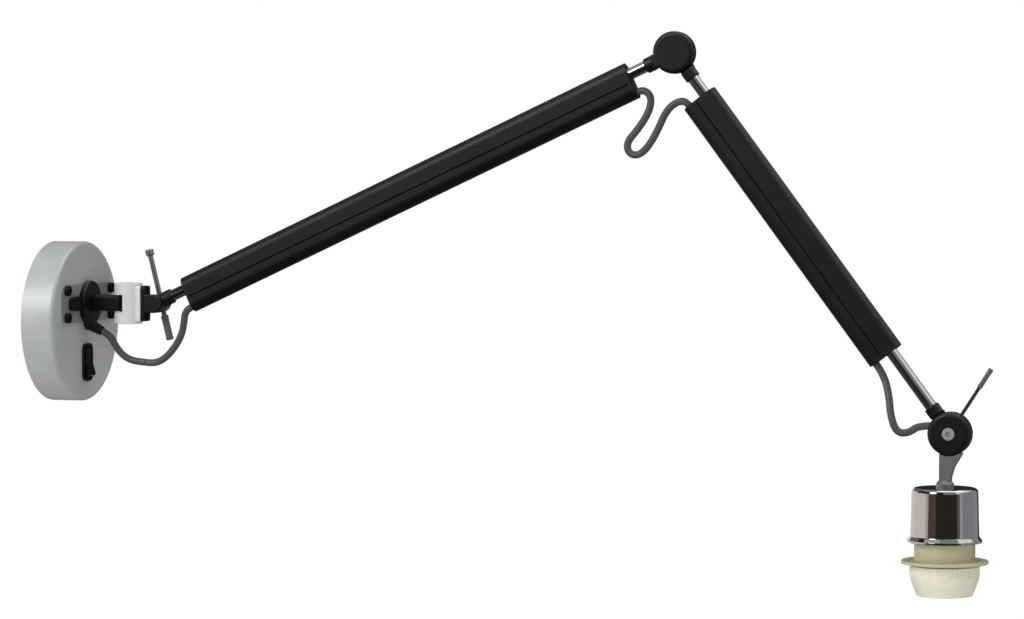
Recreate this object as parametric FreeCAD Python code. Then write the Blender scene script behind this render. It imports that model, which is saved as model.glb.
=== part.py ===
import FreeCAD, Part
import math
import os

# Articulating wall lamp, in millimetres.
# Origin: centre of the wall rose on the wall face. +X leaves the wall, +Z is up, and the arms lie
# in the XZ plane. Hinge axes run along Y, and -Y is the side of the discs' finished faces.

V = FreeCAD.Vector
X_AXIS, Y_AXIS, Z_AXIS = V(1, 0, 0), V(0, 1, 0), V(0, 0, 1)

# ---- fits ----
slip = 0.02                 # radial, a pin or rod fixed in its hole
running = 0.05              # radial, a pin or shaft that turns
gap = 0.3                   # between pieces that move past each other
joint_gap = 0.4             # from the joint plane (Y = 0) to the face of each half disc
screw_clear = 0.1           # radial, a screw through a loose hole
seat_gap = 0.1              # between a piece and the seat or recess that it lies in
plug_gap = 0.15             # between a cap's plug and the channel that it fills
small_round, medium_round = 0.8, 1.2      # edge rounds on turned and cast pieces
run_share = 0.45            # of the shorter run, taken up by a bend of a cord

# ---- wall rose ----
rose_radius = 57.0
rose_depth = 24.0
rose_wall = 1.8
rose_edge = 2.6
plate_thickness = 2.0
wall_slot_spacing = 60.0
wall_slot_length = 12.0
wall_slot_width = 5.0
supply_hole_radius = 8.0
pillar_radius = 4.0

# ---- bracket casting: plate, neck and swivel eye ----
hub_height = 13.1           # swivel and tilt axes above the rose's centre
bracket_width = 82.0
bracket_height = 27.0
bracket_thickness = 1.6
bracket_corner = 8.0
bracket_screw_inset_y, bracket_screw_inset_z = 4.5, 3.9     # from the bracket's edges
screw_radius = 2.0
screw_head_radius = 3.7
screw_head_height = 3.0
screw_head_round = 0.6
screw_socket_radius, screw_socket_depth = 1.5, 1.8
neck_width = 8.0
neck_height = 11.5
eye_radius = 6.8
swivel_x = 57.0             # swivel axis from the wall

# ---- hub cover and gland ----
hub_radius = 15.8
hub_thickness = 3.8
wing_length = 66.0
wing_height = 10.0
wing_thickness = 2.4
wing_corner = 4.5
lobe_radius, lobe_rise = 6.5, 2.4          # the cover's lobe, and its centre above the gland
gland_radius = 4.0
gland_tip_radius = 3.3
gland_length = 10.5
gland_boot = 5.0
gland_tilt = 25.7           # degrees below level
gland_x, gland_z = 27.5, -2.8

# ---- switch ----
switch_z = -29.5
bezel_width, bezel_height, bezel_thickness = 15.0, 27.0, 1.8
bezel_corner = 5.0
housing_width, housing_height, housing_depth = 13.4, 25.0, 14.0
rocker_width = 11.0
rocker_radius = 11.0
rocker_rise = 2.2           # centre of the rocker's face beyond the rose's face
rocker_tilt = 8.0           # degrees each side of level
rocker_pivot_depth = 1.4    # behind the rose's face
rocker_back = 4.6           # behind the pivot
trunnion_radius, trunnion_length = 1.4, 0.8
tab_width, tab_thickness, tab_length, tab_spacing = 6.3, 0.8, 6.0, 10.0

# ---- terminal block ----
terminal_width, terminal_depth, terminal_height = 36.0, 12.0, 14.0
terminal_z = 36.0
terminal_pitch = 11.0
terminal_way_radius = 2.7
terminal_screw_radius = 2.2
terminal_screw_length = 3.4
terminal_screw_depth = 0.2

# ---- swivel barrel and tilt knuckle ----
barrel_radius = 10.0
barrel_height = 29.0
barrel_edge = 0.8
barrel_slot_angle = 88.0    # degrees each side of the wall direction
thrust_washer = 0.6
swivel_pin_radius = 4.0
swivel_head_radius = 6.5
swivel_head_height = 2.5
swivel_slot_width, swivel_slot_depth = 1.4, 1.1
pad_end = 11.6              # from the swivel axis to the pad's face
knuckle_width = 12.0
knuckle_height = 25.2
knuckle_plate = 2.6
knuckle_screw_offset = 9.4
knuckle_screw_radius = 1.5
knuckle_screw_head = 2.3
knuckle_screw_length = 8.0
knuckle_screw_head_height = 1.3
knuckle_sink = 1.5          # depth of the counterbore for a screw's head
knuckle_corner = 2.0
knuckle_round = 1.0
tilt_eye_radius = 6.6

# ---- joints ----
half_disc = 5.2             # thickness of each half of a joint
disc_radius = 14.4
disc_edge = 3.0
joint_pin_radius = 3.0
friction_washer = 0.7
friction_washer_radius = 9.0
socket_radius = 5.25        # the round neck that takes a rod
socket_start = 0.8          # beyond the other half's rim
socket_length = 6.8
socket_grip = 5.4
web_half_height = 4.9
web_round = 1.5
blind_wall = 1.6            # left in front of a pin's blind hole
pin_end_gap = 0.2           # between a pin's end and the bottom of its hole
pin_head_radius, pin_head_height = 4.6, 1.7
pin_head_recess, pin_head_sink = 5.0, 2.2
pin_key_radius = 1.5

# ---- clamp lever ----
bolt_head_radius = 6.2
bolt_head_length = 8.0
lever_radius = 1.8
lever_angle = 104.1         # degrees from +X
lever_up, lever_down = 37.0, 26.0
lever_head_radius, lever_head_length = 3.0, 5.0
sleeve_radius, sleeve_length = 2.7, 18.0

# ---- arms ----
rod_radius = 4.0
arm_1_length, arm_1_angle = 420.0, 24.6
arm_1_start, arm_1_gap = 26.0, 35.0       # bare rod at the wall end and at the elbow
arm_2_length, arm_2_angle = 317.0, -53.1
arm_2_start, arm_2_gap = 35.5, 67.0       # bare rod at the elbow and at the head
body_height, body_width, body_wall = 26.0, 13.0, 1.6
body_drop = 4.6             # body centre below the rod axis
web_top, web_thickness = 5.8, 1.4         # web between the rod and the cord channels
groove_depth, groove_half_width = 0.7, 0.57
cap_thickness, cap_plug = 2.0, 5.0
block_length = 20.0
rod_insert = 42.0           # rod inside the body
grub_radius, grub_length = 1.5, 4.0
grub_key_radius, grub_key_depth = 0.75, 1.0

# ---- cord ----
cord_radius = 2.5
cord_drop = 13.3            # cord below the rod axis, inside an arm
cord_hole = 2.7

# ---- head ----
ring_radius = 14.5
ring_thickness = 8.2
bolt_cap_radius, bolt_cap_height = 4.3, 2.4
bolt_cap_proud, bolt_cap_round = 0.4, 0.9
bolt_key_radius, bolt_key_depth = 1.7, 1.2
bolt_end_wall = 0.8         # left behind the bolt's blind hole
stem_plate_radius, stem_plate_thickness = 11.0, 2.0
stem_plate_width = 12.0
stem_left, stem_right_top, stem_right_low = -6.0, 9.1, 1.3
stem_low = 29.0             # below the head axis, where the taper ends
stem_knee, stem_knee_width = 22.0, 2.2    # below the head axis, and beyond the lower width
cap_top = 35.7              # below the head axis
lead_radius, lead_way = 1.2, 1.6
lead_turn = 7.3             # from the head axis to the lead's first bend
lamp_offset = -2.7          # lampholder axis from the head axis
handle_angle = 57.3
handle_radius, handle_start, handle_end = 1.25, 10.6, 50.6
handle_sleeve_radius, handle_sleeve_length = 1.75, 14.5
ring_cord_height = 5.0      # cord above the head axis where it enters the ring
ring_cord_depth = 2.9

# ---- lampholder ----
holder_cap_radius, holder_cap_low_radius = 21.9, 22.7
holder_cap_height, holder_cap_wall, holder_cap_edge = 36.2, 0.8, 3.2
holder_lip_radius, holder_lip_height, holder_lip_flare = 24.6, 1.5, 2.5
foot_radius, foot_height = 6.0, 2.6
flare_radius, flare_height = 3.6, 3.0
nipple_radius, nipple_bore, nipple_length = 4.8, 2.6, 12.0
nut_flats, nut_thickness = 14.0, 3.0
shell_radius, shell_wall = 20.2, 2.2
shell_top = 16.0            # tops and bottoms in this group are below the cap's top
shell_rim_radius, shell_rim_height = 21.4, 2.5
block_top, block_bottom = 13.0, 27.0
flange_radius, flange_top, flange_thickness = 29.0, 48.2, 2.2
thread_radius = 19.3
thread_end = 65.0
shell_bore = 16.0
e27_bore, e27_wall = 13.35, 0.65
e27_length = 27.0
e27_neck_bore, e27_neck_height = 14.6, 3.0     # room for the centre contact above the thread
e27_flange, e27_flange_thickness = 15.7, 0.8
contact_radius, contact_tip, contact_height = 4.5, 2.6, 2.2
contact_post, contact_post_length, contact_post_hole = 1.4, 4.5, 5.0
block_gap, block_round = 0.2, 1.0
shade_gap = 1.2             # room for a shade's plate between the flange and the ring
collar_radius, collar_bore = 23.2, 19.5
collar_end = 71.8
mouth_radius, mouth_lip = 17.4, 1.6
bowl = [(6.0, 0.0), (10.0, 0.9), (14.0, 2.2), (17.4, 3.7), (20.1, 4.7)]   # (below its top, inwards)


def cylinder(radius, start, direction, length):
    return Part.makeCylinder(radius, length, start, direction)


def washer(outer, inner, start, direction, thickness):
    return cylinder(outer, start, direction, thickness).cut(
        cylinder(inner, start, direction, thickness))


def block(low, high):
    return Part.makeBox(high[0] - low[0], high[1] - low[1], high[2] - low[2], V(*low))


def runs_along_x(edge):
    return abs(edge.tangentAt(edge.FirstParameter).x) > 0.99


def rounded_plate(x_low, x_high, y_size, z_size, z_centre, corner):
    """A plate across X with its four corners rounded."""
    plate = block((x_low, -y_size / 2, z_centre - z_size / 2),
                  (x_high, y_size / 2, z_centre + z_size / 2))
    edges = [e for e in plate.Edges if runs_along_x(e)]
    return plate.makeFillet(corner, edges)


def round_rim(shape, radius, axis, position):
    """Fillet the circular edges of a turned shape at one place along an axis."""
    rims = [e for e in shape.Edges if e.Curve.TypeId == "Part::GeomCircle"
            and abs(e.Curve.Center.dot(axis) - position) < 1e-4
            and abs(e.Curve.Axis.dot(axis)) > 0.99]
    widest = max(e.Curve.Radius for e in rims)
    return shape.makeFillet(radius, [e for e in rims if e.Curve.Radius > widest - 1e-4])


def revolve(profile, centre):
    """Turn a closed (radius, height) outline about a vertical axis through centre."""
    points = [V(centre.x + r, centre.y, centre.z + z) for r, z in profile]
    face = Part.Face(Part.makePolygon(points + points[:1]))
    return face.revolve(centre, Z_AXIS, 360)


def tube(points, radius, name=None):
    """A round tube on straight runs joined by tangent arcs."""
    points = [V(*p) for p in points]
    edges, radii, start = [], [], points[0]
    for before, at, after in zip(points, points[1:], points[2:]):
        run_in, run_out = at - before, after - at
        turn = run_in.getAngle(run_out)
        reach = run_share * min(run_in.Length, run_out.Length)
        bend = reach / math.tan(turn / 2)
        radii.append(bend)
        into, out = V(run_in).normalize(), V(run_out).normalize()
        first, last = at - into * reach, at + out * reach
        inward = V(out - into).normalize()
        middle = at + inward * (bend / math.cos(turn / 2) - bend)
        edges.append(Part.LineSegment(start, first).toShape())
        edges.append(Part.Arc(first, middle, last).toShape())
        start = last
    edges.append(Part.LineSegment(start, points[-1]).toShape())
    wire = Part.Wire(edges)
    heading = points[1] - points[0]
    ring = Part.Wire(Part.makeCircle(radius, points[0], heading))
    solid = wire.makePipeShell([ring], True, False)
    if name:
        expected = math.pi * radius ** 2 * wire.Length
        print(name, "length %.1f" % wire.Length, "volume ratio %.4f" % (solid.Volume / expected),
              "radii", [round(r, 1) for r in radii])
    return solid


def stadium(height, width, x_low, x_high, z_centre):
    """A bar along X whose section is a rectangle with half-round ends, standing upright."""
    radius, straight = width / 2, (height - width) / 2
    bar = block((x_low, -radius, z_centre - straight), (x_high, radius, z_centre + straight))
    for z in (z_centre - straight, z_centre + straight):
        bar = bar.fuse(cylinder(radius, V(x_low, 0, z), X_AXIS, x_high - x_low))
    return bar.removeSplitter()


def on_arm(shape, pivot, angle):
    """Take a shape built along +X from a pivot at the origin to an arm's place."""
    placed = shape.copy()
    placed.rotate(V(0, 0, 0), Y_AXIS, -angle)
    placed.translate(pivot)
    return placed


def arm_point(pivot, angle, along, above, y=0.0):
    """A point given along an arm and above its rod axis."""
    c, s = math.cos(math.radians(angle)), math.sin(math.radians(angle))
    return V(pivot.x + along * c - above * s, y, pivot.z + along * s + above * c)


def save(name, *solids):
    shape = solids[0] if len(solids) == 1 else Part.makeCompound(list(solids))
    shape.exportStep("parts/%s.step" % name)


# ---- places that follow from the sizes ----
os.makedirs("parts", exist_ok=True)
face_x = rose_depth
eye_half = neck_height / 2
knuckle_x = swivel_x + pad_end
shoulder = V(knuckle_x + knuckle_plate + gap + seat_gap + tilt_eye_radius, 0, hub_height)
elbow = arm_point(shoulder, arm_1_angle, arm_1_length, 0)
head = arm_point(elbow, arm_2_angle, arm_2_length, 0)
front, back = -joint_gap, joint_gap          # faces of the two half discs at the joint plane
ring_front = front - ring_thickness
head_y = (ring_front + front) / 2            # middle plane of the ring, stem and lampholder
holder = V(head.x + lamp_offset, head_y, head.z - cap_top)
cord_end = V(head.x - ring_radius + ring_cord_depth, head_y, head.z + ring_cord_height)


# ---- wall rose ----
def mounting_plate():
    plate = cylinder(rose_radius - rose_wall - gap, V(0, 0, 0), X_AXIS, plate_thickness)
    plate = plate.cut(cylinder(supply_hole_radius, V(0, 0, 0), X_AXIS, plate_thickness))
    for side in (-1, 1):
        y = side * wall_slot_spacing / 2
        reach = (wall_slot_length - wall_slot_width) / 2
        slot = block((0, y - reach, -wall_slot_width / 2),
                     (plate_thickness, y + reach, wall_slot_width / 2))
        for end in (y - reach, y + reach):
            slot = slot.fuse(cylinder(wall_slot_width / 2, V(0, end, 0), X_AXIS, plate_thickness))
        plate = plate.cut(slot)
    return plate


def bracket_screw_places():
    y_reach = bracket_width / 2 - bracket_screw_inset_y
    z_reach = bracket_height / 2 - bracket_screw_inset_z
    return [(y, hub_height + z) for y in (-y_reach, y_reach) for z in (-z_reach, z_reach)]


def pillars():
    length = face_x - rose_wall - plate_thickness
    result = []
    for y, z in bracket_screw_places():
        pillar = cylinder(pillar_radius, V(plate_thickness, y, z), X_AXIS, length)
        hole = cylinder(screw_radius + slip, V(plate_thickness + length / 2, y, z), X_AXIS, length)
        result.append(pillar.cut(hole))
    return result


def gland_axis():
    tilt = math.radians(gland_tilt)
    return V(math.cos(tilt), 0, -math.sin(tilt))


def gland_way(radius):
    start = V(gland_x, 0, gland_z) - gland_axis() * (gland_length + gland_boot)
    return cylinder(radius, start, gland_axis(), 2 * (gland_length + gland_boot))


def rose_cover():
    outer = round_rim(cylinder(rose_radius, V(0, 0, 0), X_AXIS, rose_depth),
                      rose_edge, X_AXIS, rose_depth)
    inner = cylinder(rose_radius - rose_wall, V(0, 0, 0), X_AXIS, rose_depth - rose_wall)
    cover = outer.cut(inner)
    for y, z in bracket_screw_places():
        cover = cover.cut(cylinder(screw_radius + screw_clear, V(0, y, z), X_AXIS, rose_depth))
    cover = cover.cut(gland_way(gland_radius + screw_clear))
    opening = block((0, -housing_width / 2 - screw_clear, switch_z - housing_height / 2 - screw_clear),
                    (rose_depth, housing_width / 2 + screw_clear,
                     switch_z + housing_height / 2 + screw_clear))
    return cover.cut(opening)


def bracket():
    x_low, x_high = face_x, face_x + bracket_thickness
    body = rounded_plate(x_low, x_high, bracket_width, bracket_height, hub_height, bracket_corner)
    for y, z in bracket_screw_places():
        body = body.cut(cylinder(screw_radius + screw_clear, V(x_low, y, z), X_AXIS, rose_depth))
    body = body.cut(gland_way(gland_radius + screw_clear))
    neck = block((x_low, -neck_width / 2, hub_height - eye_half),
                 (swivel_x, neck_width / 2, hub_height + eye_half))
    rounded = [e for e in neck.Edges if runs_along_x(e)]
    neck = neck.makeFillet(neck_width / 4, rounded)
    eye = cylinder(eye_radius, V(swivel_x, 0, hub_height - eye_half), Z_AXIS, neck_height)
    bore = cylinder(swivel_pin_radius + running, V(swivel_x, 0, 0), Z_AXIS, 2 * barrel_height)
    return body.fuse(neck).fuse(eye).cut(bore).removeSplitter()


def bracket_screws():
    head_x = face_x + bracket_thickness
    shank = head_x - plate_thickness - (face_x - rose_wall - plate_thickness) / 2 - 1
    result = []
    for y, z in bracket_screw_places():
        screw = cylinder(screw_radius, V(head_x - shank, y, z), X_AXIS, shank)
        screw = screw.fuse(round_rim(
            cylinder(screw_head_radius, V(head_x, y, z), X_AXIS, screw_head_height),
            screw_head_round, X_AXIS, head_x + screw_head_height))
        key_x = head_x + screw_head_height - screw_socket_depth
        result.append(screw.cut(cylinder(screw_socket_radius, V(key_x, y, z), X_AXIS,
                                         screw_head_height)))
    return result


def hub_cover():
    x_low = face_x + bracket_thickness
    boss = round_rim(cylinder(hub_radius, V(x_low, 0, hub_height), X_AXIS, hub_thickness),
                     medium_round, X_AXIS, x_low + hub_thickness)
    wings = rounded_plate(x_low, x_low + wing_thickness, wing_length, wing_height, hub_height,
                          wing_corner)
    lobe = cylinder(lobe_radius, V(x_low, 0, gland_z + lobe_rise), X_AXIS, hub_thickness)
    neck_hole = block((0, -neck_width / 2 - gap, hub_height - eye_half - gap),
                      (swivel_x, neck_width / 2 + gap, hub_height + eye_half + gap))
    cover = boss.fuse(wings).fuse(lobe).cut(neck_hole)
    return cover.cut(gland_way(gland_radius + screw_clear)).removeSplitter()


def cord_gland():
    centre = V(gland_x, 0, gland_z)
    axis = gland_axis()
    body = cylinder(gland_radius, centre - axis * (gland_length - gland_boot), axis, gland_length)
    boot = Part.makeCone(gland_radius, gland_tip_radius, gland_boot, centre + axis * gland_boot, axis)
    return body.fuse(boot).cut(gland_way(cord_radius + screw_clear))


def terminal_block():
    body = block((plate_thickness, -terminal_width / 2, terminal_z - terminal_height / 2),
                 (plate_thickness + terminal_depth, terminal_width / 2,
                  terminal_z + terminal_height / 2))
    for way in (-1, 0, 1):
        y = way * terminal_pitch
        centre = V(plate_thickness + terminal_depth / 2, y, terminal_z - terminal_height)
        body = body.cut(cylinder(terminal_way_radius, centre, Z_AXIS, 2 * terminal_height))
        body = body.cut(cylinder(terminal_screw_radius + slip,
                                 V(plate_thickness + terminal_depth / 2, y, terminal_z),
                                 X_AXIS, terminal_depth))
    return body


def terminal_screws():
    x_high = plate_thickness + terminal_depth
    return [cylinder(terminal_screw_radius, V(x_high - terminal_screw_length - terminal_screw_depth,
                                              way * terminal_pitch, terminal_z),
                     X_AXIS, terminal_screw_length) for way in (-1, 0, 1)]


def cord_in_rose():
    mouth = V(gland_x, 0, gland_z) + gland_axis() * (2 * gland_boot)
    inside = V(gland_x, 0, gland_z) - gland_axis() * gland_length
    low = terminal_z - terminal_height / 2
    route = [tuple(mouth), tuple(inside),
             (plate_thickness + terminal_depth / 2 + 1, 0, inside.z + 7),
             (plate_thickness + terminal_depth / 2, 0, inside.z + 15),
             (plate_thickness + terminal_depth / 2, seat_gap, low)]
    return tube(route, cord_radius, "cord_in_rose")


# ---- switch ----
def rocker_pivot():
    return V(face_x - rocker_pivot_depth, 0, switch_z)


def switch_housing():
    bezel = rounded_plate(face_x, face_x + bezel_thickness, bezel_width, bezel_height, switch_z,
                          bezel_corner)
    body = block((face_x - housing_depth, -housing_width / 2, switch_z - housing_height / 2),
                 (face_x, housing_width / 2, switch_z + housing_height / 2))
    pivot = rocker_pivot()
    half = rocker_width / 2 + gap
    well = cylinder(rocker_radius + gap, pivot - Y_AXIS * half, Y_AXIS, 2 * half)
    well = well.fuse(block((pivot.x, -half, switch_z - rocker_radius - gap),
                           (face_x + 2 * bezel_thickness, half, switch_z + rocker_radius + gap)))
    well = well.common(block((pivot.x - rocker_back - 2, -half, switch_z - housing_height),
                             (face_x + 2 * bezel_thickness, half, switch_z + housing_height)))
    reach = rocker_width / 2 + trunnion_length + seat_gap
    holes = cylinder(trunnion_radius + running, pivot - Y_AXIS * reach, Y_AXIS, 2 * reach)
    return bezel.fuse(body).cut(well).cut(holes).removeSplitter()


def switch_rocker():
    pivot = rocker_pivot()
    front_x = face_x + rocker_rise
    end_x = front_x + (rocker_radius + 1) * math.tan(math.radians(rocker_tilt))
    reach = rocker_radius + 1
    outline = [(pivot.x - rocker_back, -reach), (end_x, -reach), (front_x, 0), (end_x, reach),
               (pivot.x - rocker_back, reach)]
    points = [V(x, -rocker_width / 2, switch_z + z) for x, z in outline]
    body = Part.Face(Part.makePolygon(points + points[:1])).extrude(V(0, rocker_width, 0))
    body = body.common(cylinder(rocker_radius, pivot - Y_AXIS * rocker_width, Y_AXIS,
                                2 * rocker_width))
    reach = rocker_width / 2 + trunnion_length
    body = body.fuse(cylinder(trunnion_radius, pivot - Y_AXIS * reach, Y_AXIS, 2 * reach))
    body.rotate(pivot, Y_AXIS, -rocker_tilt)
    return body.removeSplitter()


def switch_terminals():
    x_high = face_x - housing_depth
    return [block((x_high - tab_length, -tab_width / 2, switch_z + side * tab_spacing / 2
                   - tab_thickness / 2),
                  (x_high, tab_width / 2, switch_z + side * tab_spacing / 2 + tab_thickness / 2))
            for side in (-1, 1)]


# ---- swivel ----
def barrel():
    low = hub_height - barrel_height / 2
    body = cylinder(barrel_radius, V(swivel_x, 0, low), Z_AXIS, barrel_height)
    for z in (low, low + barrel_height):
        body = round_rim(body, barrel_edge, Z_AXIS, z)
    pad = block((swivel_x, -knuckle_width / 2, hub_height - knuckle_height / 2),
                (knuckle_x, knuckle_width / 2, hub_height + knuckle_height / 2))
    pad = pad.makeFillet(knuckle_round, [e for e in pad.Edges if runs_along_x(e)])
    body = body.fuse(pad)
    half = eye_half + thrust_washer + seat_gap
    pocket_low = V(swivel_x, 0, hub_height - half)
    pocket = cylinder(eye_radius + gap, pocket_low, Z_AXIS, 2 * half)
    sector = Part.makeCylinder(barrel_radius + 1, 2 * half, pocket_low, Z_AXIS,
                               2 * barrel_slot_angle)
    sector.rotate(pocket_low, Z_AXIS, 180 - barrel_slot_angle)
    body = body.cut(pocket).cut(sector)
    axis_low = V(swivel_x, 0, low)
    body = body.cut(cylinder(swivel_pin_radius + slip, axis_low, Z_AXIS, barrel_height))
    top = low + barrel_height - swivel_head_height - seat_gap
    body = body.cut(cylinder(swivel_head_radius + seat_gap, V(swivel_x, 0, top), Z_AXIS,
                             swivel_head_height + 1))
    return cut_knuckle_screws(body, knuckle_screw_radius + slip).removeSplitter()


def swivel_pin():
    low = hub_height - barrel_height / 2
    top = low + barrel_height
    pin = cylinder(swivel_pin_radius, V(swivel_x, 0, low), Z_AXIS, barrel_height - seat_gap)
    head_piece = cylinder(swivel_head_radius, V(swivel_x, 0, top - swivel_head_height - seat_gap),
                          Z_AXIS, swivel_head_height)
    slot = block((swivel_x - swivel_head_radius, -swivel_slot_width / 2,
                  top - seat_gap - swivel_slot_depth),
                 (swivel_x + swivel_head_radius, swivel_slot_width / 2, top))
    return pin.fuse(head_piece).cut(slot).removeSplitter()


def swivel_washers():
    half = eye_half + thrust_washer + seat_gap
    places = (hub_height - half, hub_height + half - thrust_washer)
    return [washer(eye_radius, swivel_pin_radius + screw_clear, V(swivel_x, 0, z), Z_AXIS, thrust_washer)
            for z in places]


def cut_knuckle_screws(body, radius):
    for side in (-1, 1):
        start = V(knuckle_x + knuckle_plate - knuckle_screw_length, 0,
                  hub_height + side * knuckle_screw_offset)
        body = body.cut(cylinder(radius, start, X_AXIS, knuckle_screw_length))
    return body


def tilt_knuckle():
    plate = rounded_plate(knuckle_x, knuckle_x + knuckle_plate, knuckle_width, knuckle_height,
                          hub_height, knuckle_corner)
    low_y = front - half_disc
    ear = cylinder(tilt_eye_radius, V(shoulder.x, low_y, shoulder.z), Y_AXIS, half_disc)
    ear = round_rim(ear, knuckle_round, Y_AXIS, low_y)
    link = block((knuckle_x + knuckle_plate / 2, low_y, shoulder.z - tilt_eye_radius),
                 (shoulder.x, front, shoulder.z + tilt_eye_radius))
    link = link.makeFillet(knuckle_round, [e for e in link.Edges
                                           if runs_along_x(e) and e.CenterOfMass.y < low_y + slip])
    body = plate.fuse(ear).fuse(link)
    body = body.cut(cylinder(joint_pin_radius + running, V(shoulder.x, low_y + 1, shoulder.z),
                             Y_AXIS, half_disc))
    body = cut_knuckle_screws(body, knuckle_screw_radius + screw_clear)
    for side in (-1, 1):
        start = V(knuckle_x + knuckle_plate - knuckle_sink, 0,
                  hub_height + side * knuckle_screw_offset)
        body = body.cut(cylinder(knuckle_screw_head + screw_clear, start, X_AXIS, knuckle_plate))
    return body.removeSplitter()


def knuckle_screws():
    end = knuckle_x + knuckle_plate
    result = []
    for side in (-1, 1):
        z = hub_height + side * knuckle_screw_offset
        screw = cylinder(knuckle_screw_radius, V(end - knuckle_screw_length, 0, z), X_AXIS,
                         knuckle_screw_length - 1)
        result.append(screw.fuse(cylinder(knuckle_screw_head, V(end - knuckle_sink, 0, z), X_AXIS,
                                          knuckle_screw_head_height)))
    return result


def friction_ring(centre, outer):
    return washer(outer, joint_pin_radius + screw_clear, V(centre.x, front, centre.z), Y_AXIS,
                  friction_washer)


# ---- clamp lever ----
lever_y = back + half_disc + gap + bolt_head_length / 2
lever_direction = V(math.cos(math.radians(lever_angle)), 0, math.sin(math.radians(lever_angle)))
lever_centre = V(shoulder.x, lever_y, shoulder.z)


def clamp_bolt():
    start = front - half_disc + 1 + pin_end_gap
    head_low = lever_y - bolt_head_length / 2
    bolt = cylinder(joint_pin_radius, V(shoulder.x, start, shoulder.z), Y_AXIS, head_low - start)
    head_piece = cylinder(bolt_head_radius, V(shoulder.x, head_low, shoulder.z), Y_AXIS,
                          bolt_head_length)
    for y in (head_low, head_low + bolt_head_length):
        head_piece = round_rim(head_piece, small_round, Y_AXIS, y)
    hole = cylinder(lever_radius + slip, lever_centre - lever_direction * 2 * bolt_head_radius,
                    lever_direction, 4 * bolt_head_radius)
    return bolt.fuse(head_piece).cut(hole)


def lever_rod():
    rod = cylinder(lever_radius, lever_centre - lever_direction * lever_down, lever_direction,
                   lever_up + lever_down)
    knob_start = lever_centre + lever_direction * (lever_up - lever_head_length / 2)
    knob = cylinder(lever_head_radius, knob_start, lever_direction, lever_head_length)
    return rod.fuse(knob.makeFillet(medium_round, knob.Edges)).removeSplitter()


def lever_sleeve():
    start = lever_centre - lever_direction * (lever_down + 1)
    sleeve = cylinder(sleeve_radius, start, lever_direction, sleeve_length)
    sleeve = sleeve.makeFillet(small_round, sleeve.Edges)
    return sleeve.cut(cylinder(lever_radius + slip, start + lever_direction, lever_direction,
                               sleeve_length))


# ---- arms ----
def joint_half(radius, low_y, outer_y, edge, toward):
    """A half disc at the origin with its round neck along +X (toward = 1) or -X (toward = -1)."""
    disc = round_rim(cylinder(radius, V(0, low_y, 0), Y_AXIS, half_disc), edge, Y_AXIS, outer_y)
    start = radius + socket_start
    web = block((0, low_y, -web_half_height), (start + gap, low_y + half_disc, web_half_height))
    neck = cylinder(socket_radius, V(start, 0, 0), X_AXIS, socket_length)
    neck = round_rim(neck, small_round, X_AXIS, start + socket_length)
    rod_hole = cylinder(rod_radius + slip, V(start + socket_length - socket_grip, 0, 0), X_AXIS,
                        socket_grip)
    body = disc.fuse(trim_web(web, outer_y)).fuse(neck).cut(rod_hole)
    if toward < 0:
        body.rotate(V(0, 0, 0), Y_AXIS, 180)
    return body.removeSplitter()


def trim_web(web, outer_y):
    edges = [e for e in web.Edges if runs_along_x(e) and abs(e.CenterOfMass.y - outer_y) < slip]
    return web.makeFillet(web_round, edges)


def rod_tip(radius):
    """Where a rod starts, from the joint's axis."""
    return radius + socket_start + socket_length - socket_grip + seat_gap


def arm_body(start, end):
    centre = -body_drop
    outer = stadium(body_height, body_width, start, end, centre)
    inner = stadium(body_height - 2 * body_wall, body_width - 2 * body_wall, start - 1, end + 1,
                    centre)
    web = block((start, -body_width / 2 + body_wall / 2, -web_top - web_thickness),
                (end, body_width / 2 - body_wall / 2, -web_top))
    body = outer.cut(inner.cut(web))
    web_z = -web_top - web_thickness / 2
    for side in (-1, 1):
        y = side * body_width / 2
        wide = groove_half_width * (1 + 1 / groove_depth)
        tip = [V(start - 1, y + side, web_z + wide), V(start - 1, y - side * groove_depth, web_z),
               V(start - 1, y + side, web_z - wide)]
        face = Part.Face(Part.makePolygon(tip + tip[:1]))
        body = body.cut(face.extrude(V(end - start + 2, 0, 0)))
    for x in grub_places(start, end):
        body = body.cut(cylinder(grub_radius + slip, V(x, 0, 0), Z_AXIS, body_height))
    return body


def grub_places(start, end):
    return (start + block_length / 2, end - block_length / 2)


def rod_blocks(start, end):
    wall = body_wall + seat_gap
    inside = stadium(body_height - 2 * wall, body_width - 2 * wall,
                     start, end, -body_drop)
    result = []
    for low in (start, end - block_length):
        piece = inside.common(block((low, -body_width, -web_top + seat_gap),
                                    (low + block_length, body_width, body_height)))
        piece = piece.cut(cylinder(rod_radius + slip, V(low, 0, 0), X_AXIS, block_length))
        grub = cylinder(grub_radius + slip, V(low + block_length / 2, 0, 0), Z_AXIS, body_height)
        result.append(piece.cut(grub))
    return result


def grub_screws(start, end):
    result = []
    for x in grub_places(start, end):
        screw = cylinder(grub_radius, V(x, 0, rod_radius + seat_gap), Z_AXIS, grub_length)
        key_z = rod_radius + seat_gap + grub_length - grub_key_depth
        socket = cylinder(grub_key_radius, V(x, 0, key_z), Z_AXIS, grub_length)
        result.append(screw.cut(socket))
    return result


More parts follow.
